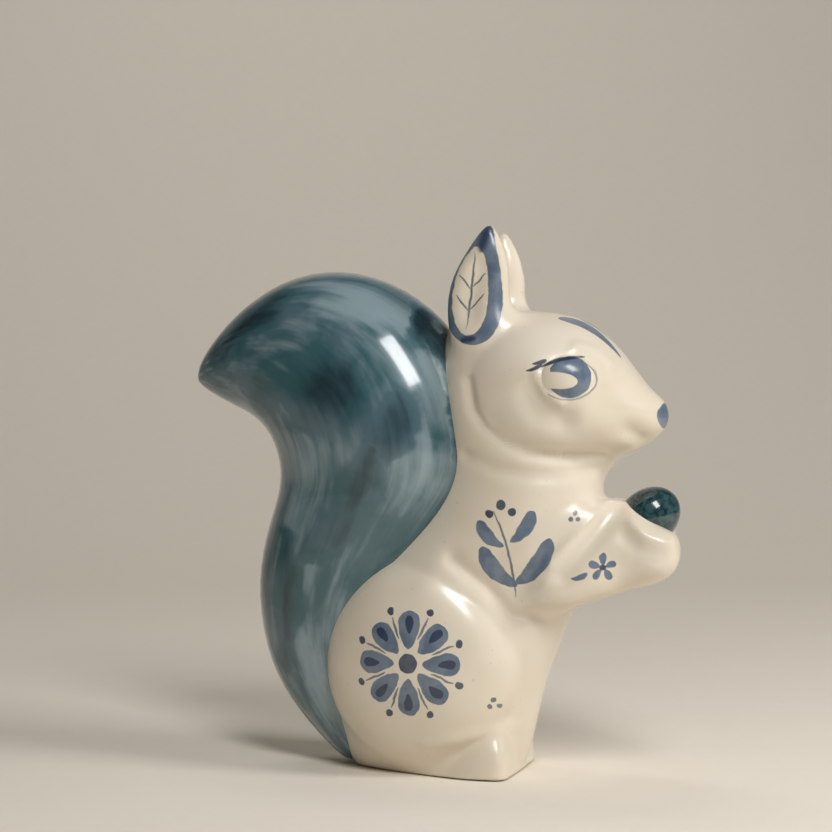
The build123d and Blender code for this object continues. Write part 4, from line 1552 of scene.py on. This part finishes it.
@dataclass
class Studio:
    """Camera, lights, floor and backdrop."""

    camera_place: Triple = (206.73, -720.95, 140.0)
    camera_aim: Triple = (-7.195, -2.818, 107.933)
    lens: float = 106.1
    # width, depth and height of the paper, where its wall stands and how wide it bends, in metres
    paper: Triple = (7.0, 5.0, 3.0)
    wall: float = 1.35
    bend: float = 0.85
    turn: float = -16.6

    def build(self) -> None:
        """Sets up the camera, the lights and the stage."""
        self._camera()
        side = self._lamp("side", (740.0, -90.0, 480.0), (240.0, 300.0), 3.5)
        self._lamp("front", (350.0, -590.0, 690.0), (210.0, 460.0), 4.2, roll=26.0)
        behind = (-250.0, 1350.0, 450.0)
        backdrop = self._lamp("backdrop", (-350.0, 420.0, 1300.0), (600.0, 600.0), 4.1, behind)
        fill = self._lamp("fill", (-600.0, -700.0, 300.0), (700.0, 700.0), 0.08)
        for lamp in (side, backdrop, fill):
            lamp.visible_glossy = False
        world = bpy.data.worlds.new("studio")
        world.use_nodes = True
        world.node_tree.nodes["Background"].inputs["Color"].default_value = (0.9, 0.87, 0.82, 1.0)
        world.node_tree.nodes["Background"].inputs["Strength"].default_value = 0.06
        bpy.context.scene.world = world
        bpy.context.scene.view_settings.view_transform = "Standard"
        self._sweep()

    def _sweep(self) -> bpy.types.Object:
        """Lays a sheet of pale paper that sweeps up behind the figurine."""
        Workbench.clear_selection()
        bpy.ops.mesh.primitive_cube_add(size=1.0)
        sweep = bpy.context.object
        sweep.name = sweep.data.name = "sweep"
        bpy.ops.object.mode_set(mode="EDIT")
        bpy.ops.mesh.select_all(action="SELECT")
        bpy.ops.transform.resize(value=self.paper, center_override=(0, 0, 0))
        bpy.ops.transform.translate(value=(0.0, self.wall - self.paper[1] / 2, self.paper[2] / 2))
        bpy.ops.mesh.select_mode(type="FACE")
        bpy.ops.mesh.select_all(action="DESELECT")
        bpy.ops.object.mode_set(mode="OBJECT")
        for face in sweep.data.polygons:
            face.select = max(face.normal.y, -face.normal.z) < 0.5
        bpy.ops.object.mode_set(mode="EDIT")
        bpy.ops.mesh.delete(type="FACE")
        bpy.ops.mesh.select_all(action="SELECT")
        bpy.ops.mesh.flip_normals()
        bpy.ops.transform.rotate(value=math.radians(self.turn), orient_axis="Z", center_override=(0, 0, 0))
        bpy.ops.object.mode_set(mode="OBJECT")
        Workbench.apply(sweep, "BEVEL", width=self.bend, segments=48, limit_method="ANGLE")
        Workbench.activate(sweep)
        bpy.ops.object.shade_smooth()
        sweep.data.materials.append(
            PlainFinish("paper", linear(244, 235, 221), linear(243, 234, 220), 0.9).material()
        )
        return sweep

    def _camera(self) -> None:
        """Places the camera where the photograph was taken from."""
        data = bpy.data.cameras.new("camera")
        camera = bpy.data.objects.new("camera", data)
        bpy.context.scene.collection.objects.link(camera)
        place = Vector(self.camera_place) * MM
        camera.location = place
        camera.rotation_euler = (Vector(self.camera_aim) * MM - place).to_track_quat("-Z", "Y").to_euler()
        data.lens = self.lens
        data.sensor_width = 36.0
        data.clip_start = 0.01
        bpy.context.scene.camera = camera

    @staticmethod
    def _lamp(
        name: str, place: Triple, size: Pair, power: float, aim: Triple = (0.0, 0.0, 80.0), roll: float = 0.0
    ) -> bpy.types.Object:
        """Hangs one soft box.

        Args:
            name: name of the lamp.
            place: where it hangs.
            size: width and height of the box.
            power: its power in watts.
            aim: where it points; left out, at the figurine.
            roll: turn about its own axis, in degrees.

        Returns:
            The lamp.
        """
        data = bpy.data.lights.new(name, "AREA")
        data.shape = "RECTANGLE"
        data.size, data.size_y = size[0] * MM, size[1] * MM
        data.energy = power
        lamp = bpy.data.objects.new(name, data)
        bpy.context.scene.collection.objects.link(lamp)
        lamp.location = Vector(place) * MM
        turn = Quaternion((0.0, 0.0, 1.0), math.radians(roll))
        lamp.rotation_euler = ((Vector(aim) - Vector(place)).to_track_quat("-Z", "Y") @ turn).to_euler()
        return lamp


def main() -> None:
    """Builds the figurine, dresses it and sets the stage."""
    logging.basicConfig(level=logging.INFO)
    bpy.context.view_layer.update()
    clay = ClayBody().model()
    skin = Skin(clay)
    tail = Tail().model(clay)
    pieces = Seams().cut(clay)
    base = Base().model(clay)
    for piece in pieces.values():
        skin.wear(piece)
    cream = CreamGlaze("cream_glaze").material()
    body = CreamGlaze("cream_glaze_body", Decoration.branch + Decoration.rosette).material()
    foreleg = CreamGlaze("cream_glaze_foreleg", Decoration.branch + Decoration.floret).material()
    ear = CreamGlaze("cream_glaze_ear", Decoration.ear_leaf).material()
    face = CreamGlaze("cream_glaze_face", Decoration.face + Decoration.ear_leaf, 0.25).material()
    slip = PlainFinish("slip", linear(226, 214, 192), linear(220, 207, 184), 0.7).material()
    bisque = PlainFinish("bisque", linear(216, 202, 180), linear(206, 190, 166), 0.85).material()
    nut_glaze = PlainFinish("nut_glaze", linear(22, 44, 50), linear(50, 80, 84), 0.16, 0.6, 0.55).material()
    finishes = {"torso_shell": body, "neck_slip_ring": cream, "head_shell": face}
    for side in Side:
        finishes[side.label + "_foreleg"] = foreleg
        finishes[side.label + "_haunch"] = body
        finishes[side.label + "_hind_foot"] = body
        finishes[side.label + "_ear"] = ear
    for node, piece in pieces.items():
        show(piece, node, "slip" if node == "neck_slip_ring" else "cream_glaze", finishes[node])
    for side in Side:
        show(Eye().model(side), side.label + "_eye", "eye_glaze", face)
    show(tail, "tail_shell", "tail_glaze", TailGlaze(Tail.layout).material())
    show(Nut().model(), "nut", "nut_glaze", nut_glaze)
    show(base, "base_plate", "bisque", bisque)
    for node in ("tail_slip_collar", "right_shoulder_slip_collar", "left_shoulder_slip_collar"):
        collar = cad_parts[node]
        collar.data.materials.clear()
        collar.data.materials.append(slip)
        LOG.info("%s stays as it is, inside the joint", node)
    Studio().build()


def show(piece: bpy.types.Object, node: str, slot: str, finish: bpy.types.Material) -> None:
    """Dresses a piece and lets it stand for a part of the frame.

    Args:
        piece: the modelled piece.
        node: the part that it shows.
        slot: name of its finish, written only to the log.
        finish: its material.
    """
    piece.data.materials.clear()
    piece.data.materials.append(finish)
    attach(piece, "root")
    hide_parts(node)
    LOG.info("%s shows %s in %s: %d faces", piece.name, node, slot, len(piece.data.polygons))


if __name__ == "__main__":
    main()
